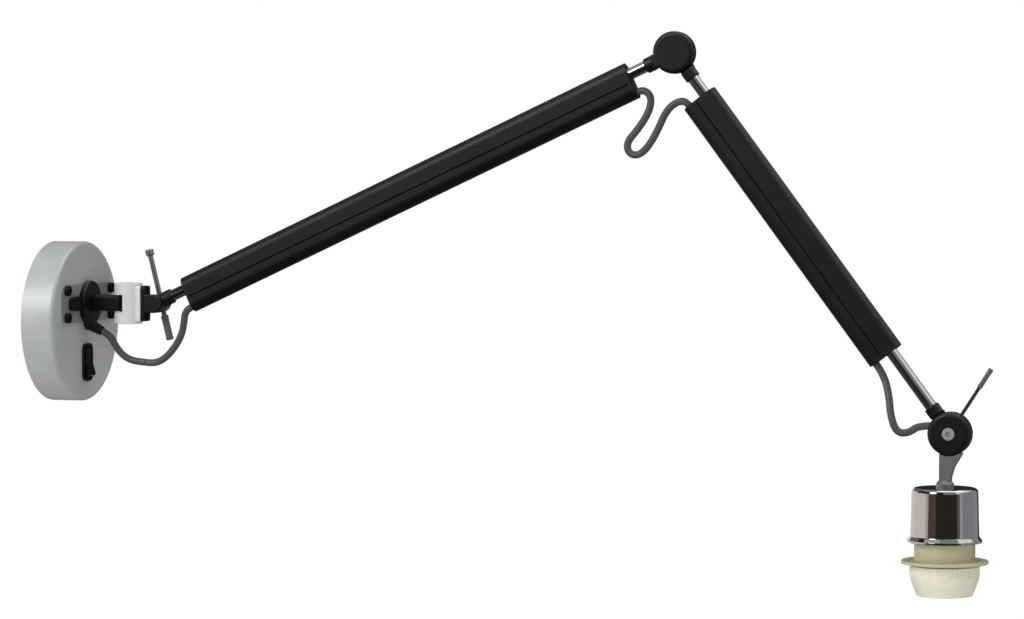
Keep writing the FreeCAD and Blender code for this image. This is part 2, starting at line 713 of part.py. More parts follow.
def end_caps(start, end):
    """Caps outside the body from start to end, each with a plug in the cord channel."""
    result = []
    for low, plug_low in ((start - cap_thickness, start), (end, end - cap_plug)):
        cap = stadium(body_height, body_width, low, low + cap_thickness, -body_drop)
        wall = body_wall + plug_gap
        plug = stadium(body_height - 2 * wall, body_width - 2 * wall, plug_low,
                       plug_low + cap_plug, -body_drop)
        plug = plug.common(block((plug_low, -body_width, -body_height),
                                 (plug_low + cap_plug, body_width,
                                  -web_top - web_thickness - plug_gap)))
        piece = cap.fuse(plug)
        piece = piece.cut(cylinder(rod_radius + screw_clear, V(low - cap_plug, 0, 0), X_AXIS,
                                   cap_thickness + 2 * cap_plug))
        piece = piece.cut(cylinder(cord_hole, V(low - 2 * cap_plug, 0, -cord_drop), X_AXIS,
                                   4 * cap_plug))
        result.append(piece.removeSplitter())
    return result


def arm_cord(start, end):
    """The cord's straight length inside an arm, from cap face to cap face."""
    return cylinder(cord_radius, V(start, 0, -cord_drop), X_AXIS, end - start)


arm_1_end = arm_1_length - arm_1_gap
arm_2_end = arm_2_length - arm_2_gap
arm_1_inner = (arm_1_start + cap_thickness, arm_1_end - cap_thickness)
arm_2_inner = (arm_2_start + cap_thickness, arm_2_end - cap_thickness)


def rod(low, high):
    return cylinder(rod_radius, V(low, 0, 0), X_AXIS, high - low)


def shoulder_eye():
    low_y = back
    body = joint_half(tilt_eye_radius, low_y, low_y + half_disc, knuckle_round, 1)
    return body.cut(cylinder(joint_pin_radius + running, V(0, 0, 0), Y_AXIS, 2 * half_disc))


def elbow_front_disc():
    low_y = front - half_disc
    body = joint_half(disc_radius, low_y, low_y, disc_edge, -1)
    body.translate(V(arm_1_length, 0, 0))
    return body.cut(cylinder(joint_pin_radius + slip, V(arm_1_length, low_y + blind_wall, 0), Y_AXIS,
                             half_disc))


def elbow_back_disc():
    low_y = back
    body = joint_half(disc_radius, low_y, low_y + half_disc, disc_edge, 1)
    body = body.cut(cylinder(joint_pin_radius + running, V(0, 0, 0), Y_AXIS, 2 * half_disc))
    recess = cylinder(pin_head_recess, V(0, low_y + half_disc - pin_head_sink, 0), Y_AXIS, half_disc)
    return body.cut(recess)


def elbow_pin():
    low = front - half_disc + blind_wall + pin_end_gap
    head_low = back + half_disc - pin_head_sink + gap
    pin = cylinder(joint_pin_radius, V(0, low, 0), Y_AXIS, head_low - low)
    cap = cylinder(pin_head_radius, V(0, head_low, 0), Y_AXIS, pin_head_height)
    key = cylinder(pin_key_radius, V(0, head_low + pin_end_gap, 0), Y_AXIS, half_disc)
    return pin.fuse(cap).cut(key)


def head_back_disc():
    body = joint_half(disc_radius, back, back + half_disc, disc_edge, -1)
    body.translate(V(arm_2_length, 0, 0))
    return body.cut(cylinder(joint_pin_radius + slip, V(arm_2_length, 0, 0), Y_AXIS,
                             back + half_disc - bolt_end_wall))


def head_bolt():
    """Its cap shows in the ring's face, and its shank screws into the back disc."""
    cap_low = ring_front - bolt_cap_proud
    cap = cylinder(bolt_cap_radius, V(0, cap_low, 0), Y_AXIS, bolt_cap_height)
    cap = round_rim(cap, bolt_cap_round, Y_AXIS, cap_low)
    socket = cylinder(bolt_key_radius, V(0, cap_low, 0), Y_AXIS, bolt_key_depth)
    shank = cylinder(joint_pin_radius, V(0, cap_low + bolt_cap_height / 2, 0), Y_AXIS,
                     back + half_disc - bolt_end_wall - pin_end_gap - cap_low
                     - bolt_cap_height / 2)
    bolt = cap.fuse(shank).cut(socket)
    bolt.translate(V(arm_2_length, 0, 0))
    return bolt


# ---- head ----
def lead_route():
    """Route of the lamp's inner lead, from the cord's end in the ring to the lampholder."""
    return [(cord_end.x + seat_gap, head_y, cord_end.z),
            (head.x - lead_turn, head_y, cord_end.z),
            (head.x - lead_turn + 0.7, head_y, head.z - 3.0),
            (holder.x - 0.01, head_y, head.z - ring_radius - 1.5),
            (holder.x, head_y, holder.z - block_top)]


def handle_cylinder(radius, low, high):
    angle = math.radians(handle_angle)
    direction = V(math.cos(angle), 0, math.sin(angle))
    start = V(head.x, head_y, head.z) + direction * low
    return cylinder(radius, start, direction, high - low)


def ring_cord_way(radius):
    start = cord_end - X_AXIS * (2 * ring_cord_depth)
    return cylinder(radius, start, X_AXIS, 2 * ring_cord_depth + seat_gap)


def head_ring():
    centre = V(head.x, ring_front, head.z)
    body = cylinder(ring_radius, centre, Y_AXIS, ring_thickness)
    body = round_rim(body, disc_edge, Y_AXIS, ring_front)
    body = body.cut(cylinder(joint_pin_radius + running, centre, Y_AXIS, ring_thickness))
    body = body.cut(cylinder(bolt_cap_radius + gap, centre, Y_AXIS, bolt_cap_height))
    recess_y = front - stem_plate_thickness
    body = body.cut(cylinder(stem_plate_radius + seat_gap, V(head.x, recess_y, head.z), Y_AXIS,
                             stem_plate_thickness))
    half = stem_plate_width / 2 + seat_gap
    body = body.cut(block((head.x - half, recess_y, head.z - ring_radius - 1),
                          (head.x + half, front, head.z)))
    body = body.cut(tube(lead_route(), lead_way))
    body = body.cut(ring_cord_way(cord_radius + screw_clear))
    return body.cut(handle_cylinder(handle_radius + slip, handle_start, ring_radius + 1))


def stem():
    plate_y = front - stem_plate_thickness
    disc = cylinder(stem_plate_radius, V(head.x, plate_y, head.z), Y_AXIS, stem_plate_thickness)
    half = stem_plate_width / 2
    strip = block((head.x - half, plate_y, head.z - ring_radius - 2),
                  (head.x + half, front, head.z))
    outline = [(stem_left, -ring_radius + 4), (stem_right_top, -ring_radius + 2),
               (stem_right_low + stem_knee_width, -stem_knee), (stem_right_low, -stem_low),
               (stem_right_low, -cap_top + foot_height / 2), (stem_left, -cap_top + foot_height / 2)]
    points = [V(head.x + x, ring_front, head.z + z) for x, z in outline]
    taper = Part.Face(Part.makePolygon(points + points[:1])).extrude(V(0, ring_thickness, 0))
    saddle = cylinder(ring_radius + seat_gap, V(head.x, ring_front, head.z), Y_AXIS,
                      ring_thickness)
    body = disc.fuse(strip).fuse(taper.cut(saddle))
    foot_top = holder.z + foot_height
    foot = cylinder(foot_radius, holder, Z_AXIS, foot_height)
    flare = Part.makeCone(foot_radius, flare_radius, flare_height, V(holder.x, head_y, foot_top), Z_AXIS)
    body = body.fuse(foot.fuse(flare))
    body = body.cut(cylinder(joint_pin_radius + running, V(head.x, plate_y, head.z), Y_AXIS,
                             stem_plate_thickness))
    body = body.cut(tube(lead_route(), lead_way))
    return body.cut(cylinder(nipple_radius + slip, holder, Z_AXIS, foot_height)).removeSplitter()


def head_lead():
    return tube(lead_route(), lead_radius, "head_lead")


def below(distance):
    """Centre of the lampholder's axis at a distance below the cap's top."""
    return V(holder.x, holder.y, holder.z - distance)


def nipple():
    top = below(-foot_height + seat_gap)
    body = cylinder(nipple_radius, top - Z_AXIS * nipple_length, Z_AXIS, nipple_length)
    return body.cut(cylinder(nipple_bore, top - Z_AXIS * nipple_length, Z_AXIS, nipple_length))


def nipple_nut():
    corner = nut_flats / math.sqrt(3)
    low = below(holder_cap_wall + nut_thickness)
    points = [low + V(corner * math.cos(math.radians(a)), corner * math.sin(math.radians(a)), 0)
              for a in range(0, 360, 60)]
    nut = Part.Face(Part.makePolygon(points + points[:1])).extrude(V(0, 0, nut_thickness))
    return nut.cut(cylinder(nipple_radius + slip, low, Z_AXIS, nut_thickness))


def holder_cap():
    """The spun chrome cap: closed top with a round corner, straight side, flared lip."""
    wall = holder_cap_wall
    lip_top = -holder_cap_height + holder_lip_height
    outer = revolve([(0, 0), (holder_cap_radius, 0), (holder_cap_low_radius, lip_top + holder_lip_flare),
                     (holder_lip_radius, lip_top), (holder_lip_radius, -holder_cap_height),
                     (0, -holder_cap_height)], holder)
    outer = round_rim(outer, holder_cap_edge, Z_AXIS, holder.z)
    inner = revolve([(0, -wall), (holder_cap_radius - wall, -wall),
                     (holder_cap_low_radius - wall, lip_top + holder_lip_flare - wall),
                     (holder_lip_radius - wall, lip_top - wall),
                     (holder_lip_radius - wall, -holder_cap_height - 1),
                     (0, -holder_cap_height - 1)], holder)
    inner = round_rim(inner, holder_cap_edge - wall, Z_AXIS, holder.z - wall)
    cap = outer.cut(inner)
    return cap.cut(cylinder(nipple_radius + slip, below(2 * wall), Z_AXIS, 3 * wall))


def holder_shell():
    """Insulating shell: neck, fixed flange and a threaded end, bored for the lamp."""
    rim_low = -shell_top - shell_rim_height
    flange_low = -flange_top - flange_thickness
    inner = shell_radius - shell_wall
    return revolve([(inner, -shell_top), (shell_rim_radius, -shell_top),
                    (shell_rim_radius, rim_low), (shell_radius, rim_low),
                    (shell_radius, -flange_top), (flange_radius, -flange_top),
                    (flange_radius, flange_low), (thread_radius, flange_low),
                    (thread_radius, -thread_end), (shell_bore, -thread_end),
                    (shell_bore, -block_bottom - 1), (inner, -block_bottom - 1)], holder)


def contact_block():
    inner = shell_radius - shell_wall - block_gap
    body = cylinder(inner, below(block_bottom), Z_AXIS, block_bottom - block_top)
    body = round_rim(body, block_round, Z_AXIS, holder.z - block_top)
    return body.cut(cylinder(contact_post + slip, below(block_bottom), Z_AXIS,
                             contact_post_hole))


def thread_shell():
    outer = e27_bore + e27_wall
    top = -block_bottom - e27_neck_height
    return revolve([(e27_neck_bore, -block_bottom), (e27_flange, -block_bottom),
                    (e27_flange, -block_bottom - e27_flange_thickness),
                    (e27_neck_bore + e27_wall, -block_bottom - e27_flange_thickness),
                    (e27_neck_bore + e27_wall, top - e27_wall), (outer, top - e27_wall),
                    (outer, top - e27_length), (e27_bore, top - e27_length), (e27_bore, top),
                    (e27_neck_bore, top)], holder)


def centre_contact():
    post = cylinder(contact_post, below(block_bottom), Z_AXIS, contact_post_length)
    spring = Part.makeCone(contact_tip, contact_radius, contact_height,
                           below(block_bottom + contact_height), Z_AXIS)
    return post.fuse(spring)


def shade_ring():
    """Screw ring: a bowl-shaped collar with an inward lip."""
    top = -flange_top - flange_thickness - shade_gap
    low = -collar_end
    side = [(collar_radius - inwards, top - drop) for drop, inwards in bowl]
    return revolve([(collar_bore, top), (collar_radius - gap, top), (collar_radius, top - gap)]
                   + side + [(side[-1][0] - gap, low), (mouth_radius, low),
                             (mouth_radius, low + mouth_lip), (collar_bore, -thread_end - gap)],
                   holder)


# ---- free cord: points chosen by hand, ends tied to the pieces they meet ----
wall_loop_start = V(gland_x, 0, gland_z) + gland_axis() * (2 * gland_boot)
arm_1_cord_in = arm_point(shoulder, arm_1_angle, arm_1_start, -cord_drop)
arm_1_cord_out = arm_point(shoulder, arm_1_angle, arm_1_end, -cord_drop)
arm_2_cord_in = arm_point(elbow, arm_2_angle, arm_2_start, -cord_drop)
arm_2_cord_out = arm_point(elbow, arm_2_angle, arm_2_end, -cord_drop)
arm_1_line = arm_point(V(0, 0, 0), arm_1_angle, 1, 0)
arm_2_line = arm_point(V(0, 0, 0), arm_2_angle, 1, 0)
loop_middle, loop_line = V(70.5, 0, -28.9), V(0.996, 0, -0.085)
wall_loop_a = [tuple(wall_loop_start), tuple(wall_loop_start + gland_axis() * 6.6),
               (49.2, 0, -17.4), (57.0, 0, -25.0), tuple(loop_middle - loop_line * 7.2),
               tuple(loop_middle)]
wall_loop_b = [tuple(loop_middle), tuple(loop_middle + loop_line * 7.0), (84.8, 0, -26.8),
               (91.5, 0, -20.2), (96.8, 0, -10.8), (99.6, 0, -0.6), (100.1, 0, 5.2),
               tuple(arm_1_cord_in - arm_1_line * 5.1), tuple(arm_1_cord_in)]
elbow_loop = [tuple(arm_1_cord_out), tuple(arm_1_cord_out + arm_1_line * 5.4),
              (443.6, 0, 161.0), (445.0, 0, 154.9), (441.2, 0, 145.3), (433.0, 0, 135.0),
              (425.6, 0, 125.2), (425.6, 0, 119.2), (430.6, 0, 115.4), (436.6, 0, 117.2),
              (443.5, 0, 125.5), (449.0, 0, 137.0), (452.8, 0, 147.2), (457.2, 0, 153.6),
              (462.4, 0, 157.0), tuple(arm_2_cord_in - arm_2_line * 5.0), tuple(arm_2_cord_in)]
head_loop = [tuple(arm_2_cord_out), tuple(arm_2_cord_out + arm_2_line * 9.6), (608.6, -1.0, -41.5),
             (609.6, -1.8, -54.5), (614.0, -2.8, -65.2), (622.6, -3.8, -65.4),
             (629.6, head_y, cord_end.z), tuple(cord_end)]


# ---- build ----
save("mounting_plate", mounting_plate())
save("pillars", *pillars())
save("rose_cover", rose_cover())
save("wall_bracket", bracket())
save("bracket_screws", *bracket_screws())
save("hub_cover", hub_cover())
save("cord_gland", cord_gland())
save("terminal_block", terminal_block())
save("terminal_screws", *terminal_screws())
save("cord_in_rose", cord_in_rose())
save("switch_housing", switch_housing())
save("switch_rocker", switch_rocker())
save("switch_terminals", *switch_terminals())
save("swivel_barrel", barrel())
save("swivel_pin", swivel_pin())
save("swivel_washers", *swivel_washers())
save("tilt_knuckle", tilt_knuckle())
save("knuckle_screws", *knuckle_screws())
save("shoulder_washer", friction_ring(shoulder, tilt_eye_radius - pin_end_gap))
save("clamp_bolt", clamp_bolt())
save("lever_rod", lever_rod())
save("lever_sleeve", lever_sleeve())

ARM_1 = (shoulder, arm_1_angle)
ARM_2 = (elbow, arm_2_angle)
inner_1, inner_2 = arm_1_inner, arm_2_inner
shoulder_tip, disc_tip = rod_tip(tilt_eye_radius), rod_tip(disc_radius)
save("shoulder_eye", on_arm(shoulder_eye(), *ARM_1))
save("arm_1_rods", on_arm(rod(shoulder_tip, arm_1_start + rod_insert), *ARM_1),
     on_arm(rod(arm_1_end - rod_insert, arm_1_length - disc_tip), *ARM_1))
save("arm_1_body", on_arm(arm_body(*inner_1), *ARM_1))
save("arm_1_end_caps", *[on_arm(s, *ARM_1) for s in end_caps(*inner_1)])
save("arm_1_rod_blocks", *[on_arm(s, *ARM_1) for s in rod_blocks(*inner_1)])
save("arm_1_grub_screws", *[on_arm(s, *ARM_1) for s in grub_screws(*inner_1)])
save("cord_in_arm_1", on_arm(arm_cord(arm_1_start, arm_1_end), *ARM_1))
save("elbow_front_disc", on_arm(elbow_front_disc(), *ARM_1))
save("elbow_pin", on_arm(elbow_pin(), elbow, arm_1_angle))
save("elbow_washer", friction_ring(elbow, friction_washer_radius))

save("elbow_back_disc", on_arm(elbow_back_disc(), *ARM_2))
save("arm_2_elbow_rod", on_arm(rod(disc_tip, arm_2_start + rod_insert), *ARM_2))
save("arm_2_head_rod", on_arm(rod(arm_2_end - rod_insert, arm_2_length - disc_tip), *ARM_2))
save("arm_2_body", on_arm(arm_body(*inner_2), *ARM_2))
save("arm_2_end_caps", *[on_arm(s, *ARM_2) for s in end_caps(*inner_2)])
save("arm_2_rod_blocks", *[on_arm(s, *ARM_2) for s in rod_blocks(*inner_2)])
save("arm_2_grub_screws", *[on_arm(s, *ARM_2) for s in grub_screws(*inner_2)])
save("cord_in_arm_2", on_arm(arm_cord(arm_2_start, arm_2_end), *ARM_2))
save("head_back_disc", on_arm(head_back_disc(), *ARM_2))
save("head_bolt", on_arm(head_bolt(), *ARM_2))

save("head_ring", head_ring())
save("head_washer", friction_ring(head, friction_washer_radius))
save("stem", stem())
save("handle_rod", handle_cylinder(handle_radius, handle_start + seat_gap, handle_end))
save("handle_sleeve", handle_cylinder(handle_sleeve_radius, handle_end + 1 - handle_sleeve_length,
                                      handle_end + 1).cut(
    handle_cylinder(handle_radius + slip, handle_start, handle_end)))
save("head_lead", head_lead())
save("stem_nipple", nipple())
save("nipple_nut", nipple_nut())
save("holder_cap", holder_cap())
save("holder_shell", holder_shell())
save("contact_block", contact_block())
save("thread_shell", thread_shell())
save("centre_contact", centre_contact())
save("shade_ring", shade_ring())

save("cord_wall_loop_a", tube(wall_loop_a, cord_radius, "wall_loop_a"))
save("cord_wall_loop_b", tube(wall_loop_b, cord_radius, "wall_loop_b"))
save("cord_elbow_loop", tube(elbow_loop, cord_radius, "elbow_loop"))
save("cord_head_loop", tube(head_loop, cord_radius, "head_loop"))
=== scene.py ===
"""Articulating wall lamp: finishes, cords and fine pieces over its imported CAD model, and its stage."""

import math

import bmesh
import bpy
from mathutils import Matrix, Vector


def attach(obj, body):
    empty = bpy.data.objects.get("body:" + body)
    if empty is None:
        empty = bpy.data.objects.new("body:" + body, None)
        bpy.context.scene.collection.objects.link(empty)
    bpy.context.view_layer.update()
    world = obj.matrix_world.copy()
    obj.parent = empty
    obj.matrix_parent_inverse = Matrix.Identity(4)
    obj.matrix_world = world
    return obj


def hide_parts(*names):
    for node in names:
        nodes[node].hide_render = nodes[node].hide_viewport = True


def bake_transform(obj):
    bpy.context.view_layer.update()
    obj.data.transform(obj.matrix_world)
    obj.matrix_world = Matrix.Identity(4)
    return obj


bl_info = {
    "name": "Articulating wall lamp",
    "version": (1, 0, 0),
    "blender": (4, 5, 0),
    "location": "View3D > Sidebar > Wall lamp",
    "description": "Dresses the packed wall lamp and sets its stage",
    "category": "Object",
}

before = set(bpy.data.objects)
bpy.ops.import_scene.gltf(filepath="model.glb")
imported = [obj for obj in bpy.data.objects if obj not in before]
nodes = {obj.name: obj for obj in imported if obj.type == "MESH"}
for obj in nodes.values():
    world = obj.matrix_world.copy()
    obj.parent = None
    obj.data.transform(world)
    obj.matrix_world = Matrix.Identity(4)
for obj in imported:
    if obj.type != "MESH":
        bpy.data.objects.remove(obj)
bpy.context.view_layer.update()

MM = 0.001

# The part's own angles, directions, and places in metres.
ARM_1_TILT = math.radians(24.6)
ARM_2_TILT = math.radians(-53.1)
ARM_1_LINE = Vector((0.90924, 0, 0.41628))
ARM_2_LINE = Vector((0.60042, 0, -0.79968))
HUB_HEIGHT = 0.0131
HEAD_PIVOT = Vector((0.65041, -0.0045, -0.06556))
HOLDER_TOP = Vector((0.64771, -0.0045, -0.10126))
LEVER_LINE = Vector((-0.24362, 0, 0.96987))
LEVER_CROSSING = Vector((0.0782, 0.0099, HUB_HEIGHT))
HANDLE_LINE = Vector((0.54024, 0, 0.84151))

# Where the part's free cord leaves and enters the pieces, and the middle of its wall loop.
GLAND_SEAT = Vector((0.0275, 0, -0.0028))
GLAND_LINE = Vector((0.90108, 0, -0.43366))
GLAND_MOUTH = Vector((0.03651, 0, -0.00714))
LOOP_MIDDLE = Vector((0.0705, 0, -0.0289))
LOOP_LINE = Vector((0.996, 0, -0.085))
ARM_1_IN = Vector((0.10738, 0, 0.01183))
ARM_1_OUT = Vector((0.43379, 0, 0.16128))
ARM_2_IN = Vector((0.47076, 0, 0.15157))
ARM_2_OUT = Vector((0.59955, 0, -0.01996))
RING_ENTRY = Vector((0.63881, -0.0045, -0.06056))

# How sharp a fold must be before its edge is shaded sharp.
SHARP_FOLD = math.radians(40)


# ---- small tools ----
def linear(hex_code):
    """An sRGB hex value as the opaque linear colour that Blender's sockets take."""
    parts = [int(hex_code[i:i + 2], 16) / 255 for i in (1, 3, 5)]
    return tuple(c / 12.92 if c <= 0.04045 else ((c + 0.055) / 1.055) ** 2.4 for c in parts) + (1.0,)


def add_node(tree, kind, values=(), links=(), **settings):
    """Add a node, set its own properties and its sockets' values, and link sockets into it."""
    node = tree.nodes.new(kind)
    for key, value in settings.items():
        setattr(node, key, value)
    for socket, value in dict(values).items():
        node.inputs[socket].default_value = value
    for socket, source in dict(links).items():
        tree.links.new(source, node.inputs[socket])
    return node


def piece_from(name, mesh, material):
    """Link a finished mesh as a piece with one material."""
    piece = bpy.data.objects.new(name, mesh)
    bpy.context.scene.collection.objects.link(piece)
    mesh.materials.clear()
    mesh.materials.append(material)
    mesh.shade_smooth()
    return piece


def bake(piece):
    """Apply the piece's modifiers to its mesh, and remove them."""
    graph = bpy.context.evaluated_depsgraph_get()
    mesh = bpy.data.meshes.new_from_object(piece.evaluated_get(graph), depsgraph=graph)
    old = piece.data
    piece.modifiers.clear()
    piece.data = mesh
    bpy.data.meshes.remove(old)
    mesh.name = piece.name


# ---- finishes ----
def surface(name, colour, metallic=0.0, roughness=0.4, ior=None, tone=0.06, patch=14.0,
            grain="noise", size=0.6, relief=0.01, rub=0.06, stretch=(1.0, 1.0, 1.0), turn=0.0,
            along_piece=False, beyond=None):
    """A material with slow colour drift, a fine grain in bump, and roughness that varies.

    patch and size are in millimetres, relief is the grain's depth in millimetres, and stretch
    draws the grain out along an axis after the pattern is turned about Y. rub is how far the
    grain moves the roughness. beyond is a distance from the wall in millimetres and the colour
    past it, where a piece has two coats.
    """
    smear = 0.03  # how far the slow drift moves the roughness
    material = bpy.data.materials.new(name)
    material.use_nodes = True
    tree = material.node_tree
    tree.nodes.clear()
    places = add_node(tree, "ShaderNodeTexCoord")
    source = places.outputs["UV" if along_piece else "Object"]
    lay = add_node(tree, "ShaderNodeMapping", {"Rotation": (0, turn, 0), "Scale": (1000, 1000, 1000)},
                   {"Vector": source})
    drawn = add_node(tree, "ShaderNodeVectorMath", {1: stretch}, {0: lay.outputs[0]},
                     operation="MULTIPLY")
    drift = add_node(tree, "ShaderNodeTexNoise", {"Scale": 1 / patch, "Detail": 3.0},
                     {"Vector": lay.outputs[0]})
    if grain == "cells":
        fine = add_node(tree, "ShaderNodeTexVoronoi", {"Scale": 1 / size}, {"Vector": drawn.outputs[0]})
        height = fine.outputs["Distance"]
    elif grain == "lines":
        values = {"Scale": 1 / (size * 20), "Distortion": 1.5, "Detail": 2.0}
        fine = add_node(tree, "ShaderNodeTexWave", values, {"Vector": drawn.outputs[0]},
                        wave_type="BANDS", bands_direction="Z")
        height = fine.outputs["Fac"]
    else:
        fine = add_node(tree, "ShaderNodeTexNoise", {"Scale": 1 / size, "Detail": 4.0, "Roughness": 0.6},
                        {"Vector": drawn.outputs[0]})
        height = fine.outputs["Fac"]
    base = linear(colour)
    dark = tuple(c * (1 - tone) for c in base[:3]) + (1,)
    light = tuple(min(1.0, c * (1 + tone)) for c in base[:3]) + (1,)
    spread = add_node(tree, "ShaderNodeMapRange", {"From Min": 0.3, "From Max": 0.7},
                      {"Value": drift.outputs["Fac"]})
    tint = add_node(tree, "ShaderNodeMix", {6: dark, 7: light}, {0: spread.outputs[0]},
                    data_type="RGBA").outputs[2]
    if beyond:
        apart = add_node(tree, "ShaderNodeSeparateXYZ", links={0: lay.outputs[0]})
        past = add_node(tree, "ShaderNodeMapRange", {"From Min": beyond[0], "From Max": beyond[0] + 0.1},
                        {"Value": apart.outputs[0]})
        tint = add_node(tree, "ShaderNodeMix", {7: linear(beyond[1])}, {0: past.outputs[0], 6: tint},
                        data_type="RGBA").outputs[2]
    rubbed = add_node(tree, "ShaderNodeMapRange",
                      {"To Min": roughness - rub, "To Max": roughness + rub}, {"Value": height})
    smeared = add_node(tree, "ShaderNodeMapRange", {"To Min": -smear, "To Max": smear},
                       {"Value": spread.outputs[0]})
    rough = add_node(tree, "ShaderNodeMath", links={0: rubbed.outputs[0], 1: smeared.outputs[0]},
                     operation="ADD", use_clamp=True)
    bump = add_node(tree, "ShaderNodeBump", {"Strength": 0.6, "Distance": relief * MM},
                    {"Height": height})
    values = {"Metallic": metallic}
    if ior and not metallic:
        values["IOR"] = ior
    shader = add_node(tree, "ShaderNodeBsdfPrincipled", values,
                      {"Base Color": tint, "Roughness": rough.outputs[0], "Normal": bump.outputs[0]})
    add_node(tree, "ShaderNodeOutputMaterial", links={"Surface": shader.outputs[0]})
    return material


def brushed_arm(name, tilt):
    """Black anodised extrusion: satin, brushed along an arm that rises by tilt."""
    return surface(name, "#0c0d0d", 0.0, 0.46, 1.5, size=0.5, relief=0.02, tone=0.12, patch=25.0,
                   stretch=(0.04, 1.0, 1.0), turn=tilt)


